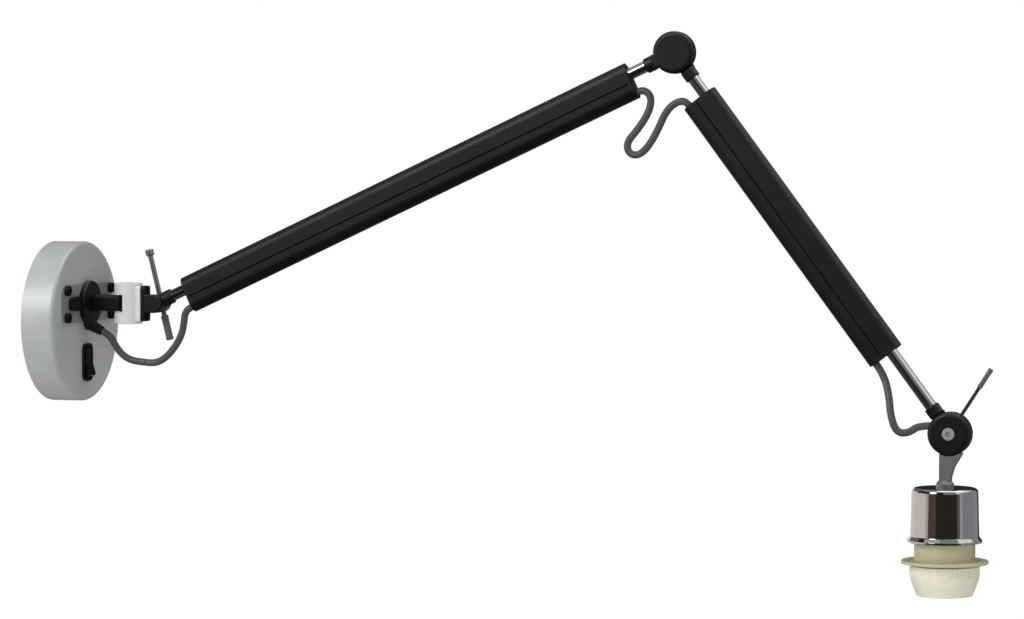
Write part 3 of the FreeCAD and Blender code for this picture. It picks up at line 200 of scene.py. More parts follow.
def make_finishes():
    """One material for each finish of the lamp, by its slot's name."""
    return {
        # Silver lacquer over spun steel: a fine orange peel under a broad soft gloss.
        "rose_paint": surface("silver_lacquer_on_spun_steel", "#babebd", 0.15, 0.38, size=1.1,
                              relief=0.012, tone=0.05, patch=30.0),
        # Zinc-plated sheet steel: crystals a few millimetres across, half matt.
        "plate_steel": surface("zinc_plated_sheet_steel", "#a7a9a6", 1.0, 0.42, grain="cells",
                               size=4.0, relief=0.01, tone=0.12, patch=6.0),
        # Zinc casting: its plate is lacquered silver as the rose is, and its neck black.
        "casting_grey": surface("lacquered_zinc_casting", "#8f9392", 0.35, 0.42, size=0.5, relief=0.02,
                                beyond=(25.7, "#121314")),
        # Blackened machine screws: oily, nearly smooth.
        "black_screws": surface("blackened_steel_screws", "#0d0e0f", 0.5, 0.36, size=0.5, relief=0.004),
        # Moulded black ABS with a light spark-eroded texture.
        "hub_black": surface("moulded_black_abs", "#08090a", 0.0, 0.44, 1.54, size=0.45, relief=0.02),
        # Black rubber gland: matt, with a dusty bloom.
        "gland_rubber": surface("black_gland_rubber", "#151516", 0.0, 0.62, 1.52, size=0.5, relief=0.02,
                                tone=0.2, patch=4.0),
        # White polyamide terminal block.
        "terminal_plastic": surface("white_polyamide", "#e2dfd2", 0.0, 0.45, 1.53, relief=0.01),
        # Turned brass, a little dulled.
        "terminal_brass": surface("turned_brass", "#c6a25a", 1.0, 0.28, size=0.3, relief=0.006, tone=0.1,
                                  patch=3.0),
        # Grey PVC sheath: a soft sheen, with faint draw marks along it on its own UV map.
        "cord_sheath": surface("grey_pvc_sheath", "#4c4d4f", 0.0, 0.42, 1.53, size=0.5, relief=0.015,
                               tone=0.1, patch=7.0, stretch=(1.0, 0.08, 1.0), along_piece=True),
        # Glossy black switch plastic.
        "switch_black": surface("glossy_black_switch_plastic", "#040405", 0.0, 0.3, 1.48, relief=0.006),
        # Satin-anodised turned aluminium: pale, with lathe lines round it.
        "barrel_light": surface("satin_anodised_aluminium", "#e4e4e5", 0.15, 0.36, grain="lines",
                                size=0.25, relief=0.004, tone=0.04),
        # Satin-plated steel pins and bolt caps.
        "pin_steel": surface("satin_plated_steel", "#bcbdbf", 0.6, 0.4, size=0.4, relief=0.004),
        # Natural nylon washers.
        "washer_nylon": surface("natural_nylon", "#d9d6c9", 0.0, 0.45, 1.53, relief=0.008),
        # Black powder coat on a zinc knuckle.
        "knuckle_black": surface("black_powder_coat_on_zinc", "#0c0d0e", 0.0, 0.44, 1.5, relief=0.02),
        # Black powder coat on the joint discs: satin, with a fine peel.
        "joint_black": surface("satin_black_powder_coat", "#0e0e0f", 0.0, 0.42, 1.5, size=0.7,
                               relief=0.018),
        # Chrome plate on drawn tube: a mirror with very slight waviness and a few smears.
        "chrome_rod": surface("chrome_plated_tube", "#c4c5c6", 1.0, 0.1, size=6.0, relief=0.004,
                              rub=0.02, tone=0.03),
        # Grey soft PVC grips.
        "sleeve_grey": surface("grey_pvc_grip", "#5a5b5d", 0.0, 0.5, 1.53, size=0.5, relief=0.02),
        # Black anodised aluminium, each arm brushed along its own line.
        "arm_black": brushed_arm("black_anodised_extrusion_of_arm_1", ARM_1_TILT),
        "second_arm_black": brushed_arm("black_anodised_extrusion_of_arm_2", ARM_2_TILT),
        # Black polyamide end caps, glass-filled: duller than the arms.
        "cap_black": surface("glass_filled_polyamide", "#0d0e0e", 0.0, 0.5, 1.53, size=0.5, relief=0.02,
                             tone=0.15, patch=3.0),
        # Sawn aluminium blocks, hidden in the arms.
        "block_metal": surface("sawn_aluminium", "#b4b6b7", 1.0, 0.4, grain="lines", size=0.5,
                               relief=0.01),
        # Zinc casting under a satin grey lacquer with fine metal flake.
        "stem_grey": surface("satin_grey_lacquer_on_zinc", "#888a8c", 0.6, 0.36, relief=0.01),
        # Polished chrome on a spun cap: a mirror, with fingermarks that dull it here and there.
        "cap_chrome": surface("polished_chrome_on_spun_cap", "#c6c7c8", 1.0, 0.07, size=8.0,
                              relief=0.003, rub=0.02, tone=0.03),
        # Cream thermoset: dense, half glossy, faintly mottled. Its cream is darkened and greened a little
        # as painted shade on the neck and flange.
        "holder_cream": surface("cream_melamine", "#bfbb98", 0.0, 0.36, 1.6, size=0.8, relief=0.008,
                                tone=0.05, patch=7.0),
        # Unglazed steatite: chalky, with fine specks.
        "block_ceramic": surface("unglazed_steatite", "#e2dfd5", 0.0, 0.6, 1.6, grain="cells", size=0.5,
                                 relief=0.02, tone=0.06, patch=3.0),
        # Moulded thermoplastic ring in the same cream, painted paler than the holder's shell as painted
        # light from below.
        "ring_cream": surface("pale_cream_polyester", "#ebe8d2", 0.0, 0.4, 1.55, size=0.8, relief=0.008,
                              tone=0.04, patch=9.0),
        # Satin nickel on the clamp lever and its bolt: softer than the chrome of the rods.
        "lever_nickel": surface("satin_nickel_on_steel", "#a2a4a6", 0.9, 0.3, size=0.5, relief=0.005),
        # Satin-anodised cap on the head's bolt, mid grey.
        "bolt_satin": surface("satin_anodised_bolt_cap", "#979798", 0.15, 0.42, size=0.4, relief=0.004),
        # The same sheath on the stretches inside the arms and the rose, where no UV map runs.
        "held_sheath": surface("grey_pvc_sheath_inside", "#4c4d4f", 0.0, 0.42, 1.53, size=0.7,
                               relief=0.015, tone=0.1, patch=7.0),
    }


# Pieces whose finish differs from their slot's.
OWN_FINISH = {
    "arm_2_body": "second_arm_black",
    "clamp_bolt": "lever_nickel",
    "lever_rod": "lever_nickel",
    "head_bolt": "bolt_satin",
    # The ring's paler cream is painted light from below, and the shell's darker cream is painted shade.
    "shade_ring": "ring_cream",
    "cord_in_rose": "held_sheath",
    "cord_in_arm_1": "held_sheath",
    "cord_in_arm_2": "held_sheath",
    "head_lead": "held_sheath",
}
finishes = {}


# ---- cords ----
# Each free loop: the bodies at its ends, the share of it that each end holds still, and its points
# in metres. The points between its ends were moved from the part's, to follow the
# photograph and to keep the head loop in front of the rod when the head tilts.
ROUTES = {
    "cord_wall_loop_a": ("rose", "swivel", 0.0, [
        GLAND_MOUTH, GLAND_MOUTH + GLAND_LINE * 0.0066, (0.0460, 0, -0.0163), (0.0509, 0, -0.0228),
        (0.0573, 0, -0.0270), LOOP_MIDDLE - LOOP_LINE * 0.0066, LOOP_MIDDLE]),
    "cord_wall_loop_b": ("swivel", "arm_1", 0.0, [
        LOOP_MIDDLE, LOOP_MIDDLE + LOOP_LINE * 0.005, (0.0810, 0, -0.0280), (0.0862, 0, -0.0246),
        (0.0910, 0, -0.0196), (0.0955, 0, -0.0134), (0.0987, 0, -0.0062), (0.0999, 0, 0.0012),
        (0.1004, 0, 0.0060), ARM_1_IN - ARM_1_LINE * 0.0045, ARM_1_IN]),
    "cord_elbow_loop": ("arm_1", "arm_2", 0.0, [
        ARM_1_OUT, ARM_1_OUT + ARM_1_LINE * 0.0046, (0.4434, 0, 0.1592), (0.4434, 0, 0.1518),
        (0.4400, 0, 0.1442), (0.4336, 0, 0.1352), (0.4274, 0, 0.1284), (0.4266, 0, 0.1224),
        (0.4306, 0, 0.1184), (0.4368, 0, 0.1193), (0.4436, 0, 0.1270), (0.4494, 0, 0.1378),
        (0.4530, 0, 0.1458), (0.4572, 0, 0.1514), (0.4626, 0, 0.1548),
        ARM_2_IN - ARM_2_LINE * 0.0044, ARM_2_IN]),
    "cord_head_loop": ("arm_2", "head", 0.2, [
        ARM_2_OUT, ARM_2_OUT + ARM_2_LINE * 0.0096, (0.6100, -0.0056, -0.0415),
        (0.6119, -0.0094, -0.0545), (0.6161, -0.0098, -0.0652), (0.6239, -0.0082, -0.0654),
        (0.6298, -0.0054, -0.06056), RING_ENTRY]),
}


def smooth_line(points):
    """Points along the NURBS curve that has the route's points as its control points."""
    curve = bpy.data.curves.new("route", "CURVE")
    curve.dimensions = "3D"
    curve.resolution_u = 16
    spline = curve.splines.new("NURBS")
    spline.points.add(len(points) - 1)
    for place, point in zip(spline.points, points):
        place.co = (*point, 1.0)
    spline.order_u = 3
    spline.use_endpoint_u = True
    holder = bpy.data.objects.new("route", curve)
    bpy.context.scene.collection.objects.link(holder)
    bpy.context.view_layer.update()
    line = bpy.data.meshes.new_from_object(holder)
    result = [v.co.copy() for v in line.vertices]
    bpy.data.objects.remove(holder)
    bpy.data.curves.remove(curve)
    bpy.data.meshes.remove(line)
    return result


def sheath(name, line, radius, sides):
    """A closed round tube along a line, and how far along it each ring of points stands.

    Its UV map is in metres and runs along it.
    """
    mesh = bpy.data.meshes.new(name)
    build = bmesh.new()
    layer = build.loops.layers.uv.new("along")
    rings, distances, travelled = [], [], 0.0
    side = Vector((0, 1, 0))
    round_u = 2 * math.pi * radius / sides
    for i, point in enumerate(line):
        ahead = line[min(i + 1, len(line) - 1)] - line[max(i - 1, 0)]
        ahead.normalize()
        side = (side - ahead * side.dot(ahead)).normalized()
        up = ahead.cross(side)
        if i:
            travelled += (point - line[i - 1]).length
        distances.append(travelled)
        rings.append([build.verts.new(point + (side * math.cos(a) + up * math.sin(a)) * radius)
                      for a in (2 * math.pi * k / sides for k in range(sides))])
    for i in range(len(rings) - 1):
        for k in range(sides):
            n = (k + 1) % sides
            face = build.faces.new((rings[i][k], rings[i][n], rings[i + 1][n], rings[i + 1][k]))
            for loop, u, v in zip(face.loops, (k, k + 1, k + 1, k), (i, i, i + 1, i + 1)):
                loop[layer].uv = (u * round_u, distances[v])
    build.faces.new(list(reversed(rings[0])))
    build.faces.new(rings[-1])
    bmesh.ops.recalc_face_normals(build, faces=build.faces)
    build.to_mesh(mesh)
    build.free()
    return mesh, distances


# ---- turned pieces ----
def softened(corners, steps=5):
    """A closed outline in millimetres from (radius, height, rounding) corners, as plain points."""
    points = []
    for i, (r, z, rounding) in enumerate(corners):
        at = Vector((r, z))
        if not rounding:
            points.append(at)
            continue
        before = Vector(corners[i - 1][:2]) - at
        after = Vector(corners[(i + 1) % len(corners)][:2]) - at
        half = before.angle(after) / 2
        reach = min(rounding / math.tan(half), 0.49 * before.length, 0.49 * after.length)
        first, last = at + before.normalized() * reach, at + after.normalized() * reach
        for k in range(steps + 1):
            t = k / steps
            points.append(first * (1 - t) ** 2 + at * 2 * t * (1 - t) + last * t ** 2)
    return points


def turned(name, corners, sides, finest=None):
    """A solid of revolution about Z, in metres, from corners in millimetres.

    finest splits the outline's long runs, so that ridges have points to move.
    """
    outline = softened(corners)
    if finest:
        fuller = []
        for here, after in zip(outline, outline[1:] + outline[:1]):
            parts = max(1, math.ceil((after - here).length / finest))
            fuller += [here.lerp(after, k / parts) for k in range(parts)]
        outline = fuller
    build = bmesh.new()
    rings = [[build.verts.new((p.x * MM * math.cos(a), p.x * MM * math.sin(a), p.y * MM))
              for p in outline] for a in (2 * math.pi * k / sides for k in range(sides))]
    count = len(outline)
    for here, after in zip(rings, rings[1:] + rings[:1]):
        for k in range(count):
            n = (k + 1) % count
            build.faces.new((here[k], after[k], after[n], here[n]))
    bmesh.ops.remove_doubles(build, verts=build.verts, dist=1e-7)
    bmesh.ops.dissolve_degenerate(build, edges=build.edges, dist=1e-7)
    bmesh.ops.recalc_face_normals(build, faces=build.faces)
    mesh = bpy.data.meshes.new(name)
    build.to_mesh(mesh)
    build.free()
    return mesh


def new_tree(name, inputs):
    """A geometry tree with named inputs, and its group input and output nodes."""
    tree = bpy.data.node_groups.new(name, "GeometryNodeTree")
    tree.interface.new_socket("Geometry", in_out="OUTPUT", socket_type="NodeSocketGeometry")
    tree.interface.new_socket("Geometry", in_out="INPUT", socket_type="NodeSocketGeometry")
    for label, kind in inputs:
        tree.interface.new_socket(label, in_out="INPUT", socket_type="NodeSocket" + kind)
    return tree, add_node(tree, "NodeGroupInput"), add_node(tree, "NodeGroupOutput")


def close_tree(tree, given, shape, output):
    """End a tree in Realize Instances and Set Material."""
    real = add_node(tree, "GeometryNodeRealizeInstances", links={0: shape})
    dressed = add_node(tree, "GeometryNodeSetMaterial", links={"Geometry": real.outputs[0],
                                                               "Material": given.outputs["Finish"]})
    tree.links.new(dressed.outputs[0], output.inputs[0])


def ridges_tree():
    """Ridges on a turned piece: a thread, rings or upright ribs, by the pitch and the starts."""
    tree, given, output = new_tree("ridges_about_an_axis", [
        ("Pitch", "Float"), ("Starts", "Float"), ("Depth", "Float"), ("From", "Float"), ("To", "Float"),
        ("Fade", "Float"), ("Least Radius", "Float"), ("Finish", "Material")])

    def sum_of(kind, *sources, values=()):
        return add_node(tree, "ShaderNodeMath", values, dict(enumerate(sources)),
                        operation=kind).outputs[0]

    place = add_node(tree, "ShaderNodeSeparateXYZ", links={
        0: add_node(tree, "GeometryNodeInputPosition").outputs[0]})
    x, y, z = place.outputs
    turn = sum_of("MULTIPLY", sum_of("ARCTAN2", y, x), given.outputs["Starts"])
    climb = sum_of("MULTIPLY", sum_of("DIVIDE", z, given.outputs["Pitch"]), values={1: 2 * math.pi})
    wave = sum_of("MULTIPLY_ADD", sum_of("COSINE", sum_of("ADD", turn, climb)), values={1: -0.5, 2: 0.5})
    radius = sum_of("SQRT", sum_of("ADD", sum_of("MULTIPLY", x, x), sum_of("MULTIPLY", y, y)))
    outside = sum_of("GREATER_THAN", radius, given.outputs["Least Radius"])
    low = add_node(tree, "ShaderNodeMapRange", links={
        "Value": z, "From Min": given.outputs["From"],
        "From Max": sum_of("ADD", given.outputs["From"], given.outputs["Fade"])},
        interpolation_type="SMOOTHSTEP")
    high = add_node(tree, "ShaderNodeMapRange", {"To Min": 1.0, "To Max": 0.0}, {
        "Value": z, "From Min": sum_of("SUBTRACT", given.outputs["To"], given.outputs["Fade"]),
        "From Max": given.outputs["To"]}, interpolation_type="SMOOTHSTEP")
    within = sum_of("MULTIPLY", low.outputs[0], high.outputs[0])
    push = sum_of("MULTIPLY", sum_of("MULTIPLY", wave, within),
                  sum_of("MULTIPLY", outside, given.outputs["Depth"]))
    level = add_node(tree, "ShaderNodeCombineXYZ", links={0: x, 1: y})
    outward = add_node(tree, "ShaderNodeVectorMath", links={0: level.outputs[0]}, operation="NORMALIZE")
    step = add_node(tree, "ShaderNodeVectorMath", links={0: outward.outputs[0], "Scale": push},
                    operation="SCALE")
    moved = add_node(tree, "GeometryNodeSetPosition", links={"Geometry": given.outputs["Geometry"],
                                                             "Offset": step.outputs[0]})
    close_tree(tree, given, moved.outputs[0], output)
    return tree


def screws_tree():
    """A screw at every point, each turned by its own amount about its axis, as a hand leaves them."""
    tree, given, output = new_tree("screws_on_their_places", [
        ("Screw", "Object"), ("Aim", "Rotation"), ("Seed", "Int"), ("Finish", "Material")])
    whole_turn = 6.28
    screw = add_node(tree, "GeometryNodeObjectInfo", links={"Object": given.outputs["Screw"]})
    chance = add_node(tree, "FunctionNodeRandomValue", {3: whole_turn}, {"Seed": given.outputs["Seed"]},
                      data_type="FLOAT")
    spun = add_node(tree, "FunctionNodeAxisAngleToRotation", {"Axis": (0, 0, 1)},
                    {"Angle": chance.outputs[1]})
    aimed = add_node(tree, "FunctionNodeRotateRotation", links={0: given.outputs["Aim"],
                     1: spun.outputs[0]}, rotation_space="LOCAL")
    points = add_node(tree, "GeometryNodeMeshToPoints", links={0: given.outputs["Geometry"]})
    placed = add_node(tree, "GeometryNodeInstanceOnPoints", links={
        "Points": points.outputs[0], "Instance": screw.outputs["Geometry"],
        "Rotation": aimed.outputs[0]})
    close_tree(tree, given, placed.outputs[0], output)
    return tree


def run_tree(name, mesh, tree, values, finish):
    """A piece from a mesh and a geometry tree, its inputs set by identifier, baked to a plain mesh."""
    piece = bpy.data.objects.new(name, mesh)
    bpy.context.scene.collection.objects.link(piece)
    change = piece.modifiers.new("shape", "NODES")
    change.node_group = tree
    given = dict(values, Finish=finishes[finish])
    for item in tree.interface.items_tree:
        if item.in_out == "INPUT" and item.name in given:
            change[item.identifier] = given.pop(item.name)
    if given:
        raise RuntimeError("%s has no input %s" % (tree.name, sorted(given)))
    bake(piece)
    piece.data.shade_smooth()
    piece.data.set_sharp_from_angle(angle=SHARP_FOLD)
    return piece


def stand(piece, origin, direction=Vector((0, 0, 1))):
    """Take a piece built about Z at the origin to its place, in its mesh."""
    turn = Vector((0, 0, 1)).rotation_difference(direction).to_matrix().to_4x4()
    piece.data.transform(Matrix.Translation(origin) @ turn)


def screw_mesh(name, head, rise, key, depth, shank, length):
    """A socket-head screw along Z with its head's seat at 0, in metres from millimetres."""
    sides = 24
    build = bmesh.new()

    def ring(radius, height, hexagon=False):
        made = []
        for k in range(sides):
            a = 2 * math.pi * k / sides
            from_flat = (a + math.pi / 6) % (math.pi / 3) - math.pi / 6
            reach = radius * MM / (math.cos(from_flat) if hexagon else 1)
            made.append(build.verts.new((reach * math.cos(a), reach * math.sin(a), height * MM)))
        return made

    edge = 0.16 * head
    rings = [ring(shank * 0.8, -length), ring(shank, -length + shank * 0.3), ring(shank, 0),
             ring(head * 0.97, 0), ring(head, head * 0.05), ring(head, rise - edge),
             ring(head - edge * 0.3, rise - edge * 0.3), ring(head - edge, rise),
             ring(key * 0.5 + head * 0.1, rise), ring(key * 0.5, rise - head * 0.05, hexagon=True),
             ring(key * 0.5, rise - depth, hexagon=True)]
    for low, high in zip(rings, rings[1:]):
        for k in range(sides):
            n = (k + 1) % sides
            build.faces.new((low[k], low[n], high[n], high[k]))
    build.faces.new(list(reversed(rings[0])))
    build.faces.new(rings[-1])
    bmesh.ops.recalc_face_normals(build, faces=build.faces)
    mesh = bpy.data.meshes.new(name)
    build.to_mesh(mesh)
    build.free()
    return mesh


# ---- settings ----
class LampCords(bpy.types.PropertyGroup):
    """Sizes of the cord."""
    diameter: bpy.props.FloatProperty(name="Cord diameter", description="Outside the sheath",
                                      default=0.005, min=0.003, max=0.008, unit="LENGTH")
    facets: bpy.props.IntProperty(name="Facets", description="Faces round the sheath", default=24,
                                  min=8, max=64)


class LampFittings(bpy.types.PropertyGroup):
    """Sizes of the fine detail on the lampholder, the grips and the screws."""
    thread_pitch: bpy.props.FloatProperty(name="Lamp thread pitch", description="Seven turns to the inch",
                                          default=0.003629, unit="LENGTH")
    thread_depth: bpy.props.FloatProperty(name="Lamp thread depth", description="Of the rolled thread",
                                          default=0.0009, unit="LENGTH")
    ring_ribs: bpy.props.IntProperty(name="Ribs on the ring", description="Upright grip ribs",
                                     default=48, min=0, max=96)
    rib_depth: bpy.props.FloatProperty(name="Rib depth", description="Of the ring's ribs",
                                       default=0.0004, unit="LENGTH")
    grip_pitch: bpy.props.FloatProperty(name="Grip pitch", description="Between rings on the grips",
                                        default=0.0018, unit="LENGTH")
    grip_depth: bpy.props.FloatProperty(name="Grip depth", description="Of the rings on the grips",
                                        default=0.0003, unit="LENGTH")
    seed: bpy.props.IntProperty(name="Seed", description="For how far each screw is turned", default=7)


class LampStage(bpy.types.PropertyGroup):
    """Where the camera stands, and how bright the studio is."""
    azimuth: bpy.props.FloatProperty(name="Azimuth", description="Turn from the front towards +X",
                                     default=math.radians(18.16), subtype="ANGLE")
    elevation: bpy.props.FloatProperty(name="Elevation", description="Camera's rise above level",
                                       default=math.radians(2.49), subtype="ANGLE")
    distance: bpy.props.FloatProperty(name="Distance", description="From the camera to its target",
                                      default=2.528, min=0.5, unit="LENGTH")
    target: bpy.props.FloatVectorProperty(name="Target", description="Point that the camera looks at",
                                          default=(0.3444, 0.0, 0.0125), subtype="TRANSLATION")
    focal_length: bpy.props.FloatProperty(name="Focal length", description="In millimetres",
                                          default=129.2, min=20)
    floor_height: bpy.props.FloatProperty(name="Floor height", description="Below the rose's centre",
                                          default=-0.75, unit="LENGTH")
    surround: bpy.props.FloatProperty(name="Surround", description="Light from all round",
                                      default=0.42, min=0.0, max=1.0)


# ---- stage ----
# The floor runs this far each way in metres, and glows this strongly to the camera and in mirrors.
FLOOR_REACH = 14.0
FLOOR_GLOW = 0.93

# The point under arm 1 that the softboxes face.
LIT_POINT = Vector((0.3, 0, 0))

# Each softbox: its place, size and watts, and whether it shows in reflections.
SOFTBOXES = (
    ("key_softbox", (-0.9, -2.2, 1.5), 1.4, 38.0, True),
    ("top_softbox", (0.9, 0.3, 1.9), 1.6, 14.0, True),
    ("low_fill", (-1.2, -1.9, -0.45), 1.2, 5.5, False),
    ("right_fill", (1.5, -1.3, -0.5), 0.8, 6.0, False),
)

# How far from the lamp the cards hang, and how far over the floor the low ones lie, in metres.
CARD_DISTANCE = 3.0
CARD_CLEARANCE = 0.01

# Each card that the polished pieces show: from and to in degrees round the lamp, where 0 is the
# front, from and to in degrees above level, and its colour.
CARDS = (
    ("front_card", (-14, 57), (-14, 12), "#332f27"),
    ("brown_card", (-43, -14), (-14, 12), "#5c4e42"),
    ("shade_card", (-54, -43), (-14, 12), "#c8bcb0"),
    ("low_front_card", (-40, 57), (-62, -14), "#1c1c1b"),
    ("warm_card", (-165, -54), (-14, 12), "#efe3d8"),
    ("low_left_card", (-165, -40), (-62, -14), "#50504e"),
    ("upper_card", (-100, 12), (12, 50), "#1e1e1e"),
    ("back_left_card", (-180, -100), (12, 50), "#74746e"),
    ("upper_right_card", (12, 60), (12, 50), "#8c8c8c"),
    ("near_right_card", (57, 66), (-14, 12), "#626264"),
    ("pale_right_card", (66, 75), (-14, 30), "#b2b2b4"),
    ("far_right_card", (75, 122), (-14, 30), "#96969a"),
    ("back_right_card", (122, 152), (-14, 30), "#9c9c9e"),
    ("side_card", (152, 195), (-14, 40), "#2a2a2a"),
    ("low_right_card", (57, 195), (-62, -14), "#6e6e6e"),
    ("under_card", (-180, 180), (-90, -62), "#3c3c3c"),
    ("left_roof_card", (-180, 0), (50, 90), "#c0c0c2"),
    ("right_roof_card", (0, 180), (50, 90), "#98988f"),
)


def way_out(azimuth, elevation):
    """The way out from the lamp, so far round from its front and so far above level, in radians."""
    return Vector((math.sin(azimuth) * math.cos(elevation), -math.cos(azimuth) * math.cos(elevation),
                   math.sin(elevation)))


# ---- pieces ----
class LAMP_OT_finishes(bpy.types.Operator):
    """Give every CAD piece its own finish"""
    bl_idname = "lamp.finishes"
    bl_label = "Finishes"

    def execute(self, context):
        finishes.update(make_finishes())
        for name, node in nodes.items():
            for held in node.material_slots:
                if held.material.name not in finishes:
                    raise RuntimeError("no finish for %s on %s" % (held.material.name, name))
                held.material = finishes[OWN_FINISH.get(name, held.material.name)]
        return {"FINISHED"}


class LAMP_OT_cords(bpy.types.Operator):
    """Lay the four free loops of the cord"""
    bl_idname = "lamp.cords"
    bl_label = "Cord loops"

    def execute(self, context):
        settings = context.scene.lamp_cords
        for name, (first, second, held, points) in ROUTES.items():
            points = [Vector(p) for p in points]
            line = smooth_line(points)
            mesh, distances = sheath(name + "_sheath", line, settings.diameter / 2, settings.facets)
            piece = piece_from(name + "_sheath", mesh, finishes["cord_sheath"])
            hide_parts(name)
            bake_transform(piece)
        return {"FINISHED"}


class LAMP_OT_lampholder(bpy.types.Operator):
    """Turn the lampholder's cap, shell, thread shell and ring"""
    bl_idname = "lamp.lampholder"
    bl_label = "Lampholder"

    def execute(self, context):
        settings = context.scene.lamp_fittings
        ridges = ridges_tree()
        cap = turned("spun_cap", [
            (4.85, 0, 0), (21.9, 0, 3.4), (22.7, -32.2, 1.2), (24.6, -34.7, 0.5), (24.6, -36.2, 0.3),
            (23.9, -36.2, 0.3), (23.8, -35.5, 0), (21.9, -33.0, 0), (21.1, -0.8, 2.6), (4.85, -0.8, 0)],
            sides=128)
        cap = piece_from("spun_cap", cap, finishes["cap_chrome"])
        cap.data.set_sharp_from_angle(angle=SHARP_FOLD)
        shell = run_tree("moulded_shell", turned("moulded_shell", [
            (18.0, -16.0, 0), (21.4, -16.0, 0.3), (21.4, -18.5, 0.2), (20.2, -18.5, 0.2),
            (20.2, -48.2, 1.0), (29.0, -48.2, 1.0), (29.0, -50.4, 0.8), (19.3, -50.4, 0.3),
            (19.3, -65.0, 0.5), (16.0, -65.0, 0.3), (16.0, -28.0, 0), (18.0, -28.0, 0)],
            sides=96, finest=0.5),
            ridges, {"Pitch": 0.0025, "Starts": 1.0, "Depth": -0.0005, "From": -0.065, "To": -0.0515,
                     "Fade": 0.001, "Least Radius": 0.0185}, "holder_cream")
        sleeve = run_tree("rolled_thread_shell", turned("rolled_thread_shell", [
            (14.6, -27.0, 0), (15.7, -27.0, 0), (15.7, -27.8, 0), (15.25, -27.8, 0), (15.25, -30.65, 0.3),
            (14.0, -30.65, 0.2), (14.0, -57.0, 0.2), (13.35, -57.0, 0.2), (13.35, -30.0, 0.2),
            (14.6, -30.0, 0.2)], sides=72, finest=0.4), ridges, {
            "Pitch": settings.thread_pitch, "Starts": 1.0, "Depth": -settings.thread_depth,
            "From": -0.057, "To": -0.031, "Fade": 0.002, "Least Radius": 0.0},
            "terminal_brass")
        ring = run_tree("screw_ring", turned("screw_ring", [
            (19.5, -51.6, 0), (23.2, -51.6, 0.5), (23.2, -57.6, 9.0), (22.3, -61.6, 9.0),
            (21.0, -65.6, 9.0), (19.5, -69.0, 9.0), (18.45, -71.8, 0.7), (17.4, -71.8, 0.5),
            (17.4, -70.2, 0.4), (19.5, -65.3, 0.3)], sides=288, finest=0.8), ridges, {
            "Pitch": 0.0, "Starts": float(settings.ring_ribs), "Depth": -settings.rib_depth,
            "From": -0.0585, "To": -0.0525, "Fade": 0.001, "Least Radius": 0.0225},
            "ring_cream")
        for piece, node in ((cap, "holder_cap"), (shell, "holder_shell"), (sleeve, "thread_shell"),
                            (ring, "shade_ring")):
            stand(piece, HOLDER_TOP)
            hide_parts(node)
            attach(piece, "head")
        return {"FINISHED"}


class LAMP_OT_grips(bpy.types.Operator):
    """Make the ringed gland and the two ringed grips"""
    bl_idname = "lamp.grips"
    bl_label = "Gland and grips"

    def execute(self, context):
        settings = context.scene.lamp_fittings
        ridges = bpy.data.node_groups["ridges_about_an_axis"]
        # The outlines are in millimetres, and all else in metres.
        places = (
            ("gland", "cord_gland", "rose", "gland_rubber", GLAND_SEAT, GLAND_LINE,
             [(2.6, -5.5, 0), (4.0, -5.5, 0.3), (4.0, 5.0, 1.0), (3.3, 10.0, 0.4), (2.6, 10.0, 0.1)],
             0.0, 0.0095, 0.003),
            ("lever_grip", "lever_sleeve", "clamp", "sleeve_grey",
             LEVER_CROSSING - LEVER_LINE * 0.027, LEVER_LINE,
             [(0, 0, 0), (2.7, 0, 0.9), (2.7, 18.0, 0.9), (1.82, 18.0, 0.2), (1.82, 1.0, 0), (0, 1.0, 0)],
             0.002, 0.016, 0.0022),
            ("handle_grip", "handle_sleeve", "head", "sleeve_grey",
             HEAD_PIVOT + HANDLE_LINE * 0.0371, HANDLE_LINE,
             [(1.27, 0, 0), (1.75, 0, 0.4), (1.75, 14.5, 0.6), (0, 14.5, 0), (0, 13.5, 0),
              (1.27, 13.5, 0)], 0.002, 0.0125, 0.0015))
        for name, node, body, slot, origin, direction, corners, low, high, least in places:
            piece = run_tree(name, turned(name, corners, sides=40, finest=0.25), ridges, {
                "Pitch": settings.grip_pitch, "Starts": 0.0, "Depth": -settings.grip_depth,
                "From": low, "To": high, "Fade": 0.001, "Least Radius": least}, slot)
            stand(piece, origin, direction)
            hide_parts(node)
            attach(piece, body)
        return {"FINISHED"}


class LAMP_OT_screws(bpy.types.Operator):
    """Set the socket-head screws of the bracket and of the knuckle"""
    bl_idname = "lamp.screws"
    bl_label = "Screws"

    def execute(self, context):
        seed = context.scene.lamp_fittings.seed
        tree = screws_tree()
        # The sizes are in millimetres, in the order that screw_mesh takes them, the places in metres.
        kinds = (
            ("bracket_socket_screws", "bracket_screws", "rose", (3.7, 3.0, 3.0, 1.8, 2.0, 12.5),
             [(0.0256, y, HUB_HEIGHT + z) for y in (-0.0365, 0.0365) for z in (-0.0096, 0.0096)]),
            ("knuckle_socket_screws", "knuckle_screws", "swivel", (2.3, 1.3, 2.0, 0.9, 1.5, 6.4),
             [(0.0697, 0, HUB_HEIGHT + z) for z in (-0.0094, 0.0094)]))
        for name, node, body, sizes, places in kinds:
            pattern = bpy.data.objects.new(name + "_pattern", screw_mesh(name + "_pattern", *sizes))
            mesh = bpy.data.meshes.new(name)
            mesh.from_pydata(places, [], [])
            piece = run_tree(name, mesh, tree, {"Screw": pattern, "Aim": (0, math.radians(90), 0),
                             "Seed": seed}, "black_screws")
            bpy.data.objects.remove(pattern)
            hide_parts(node)
            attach(piece, body)
        return {"FINISHED"}


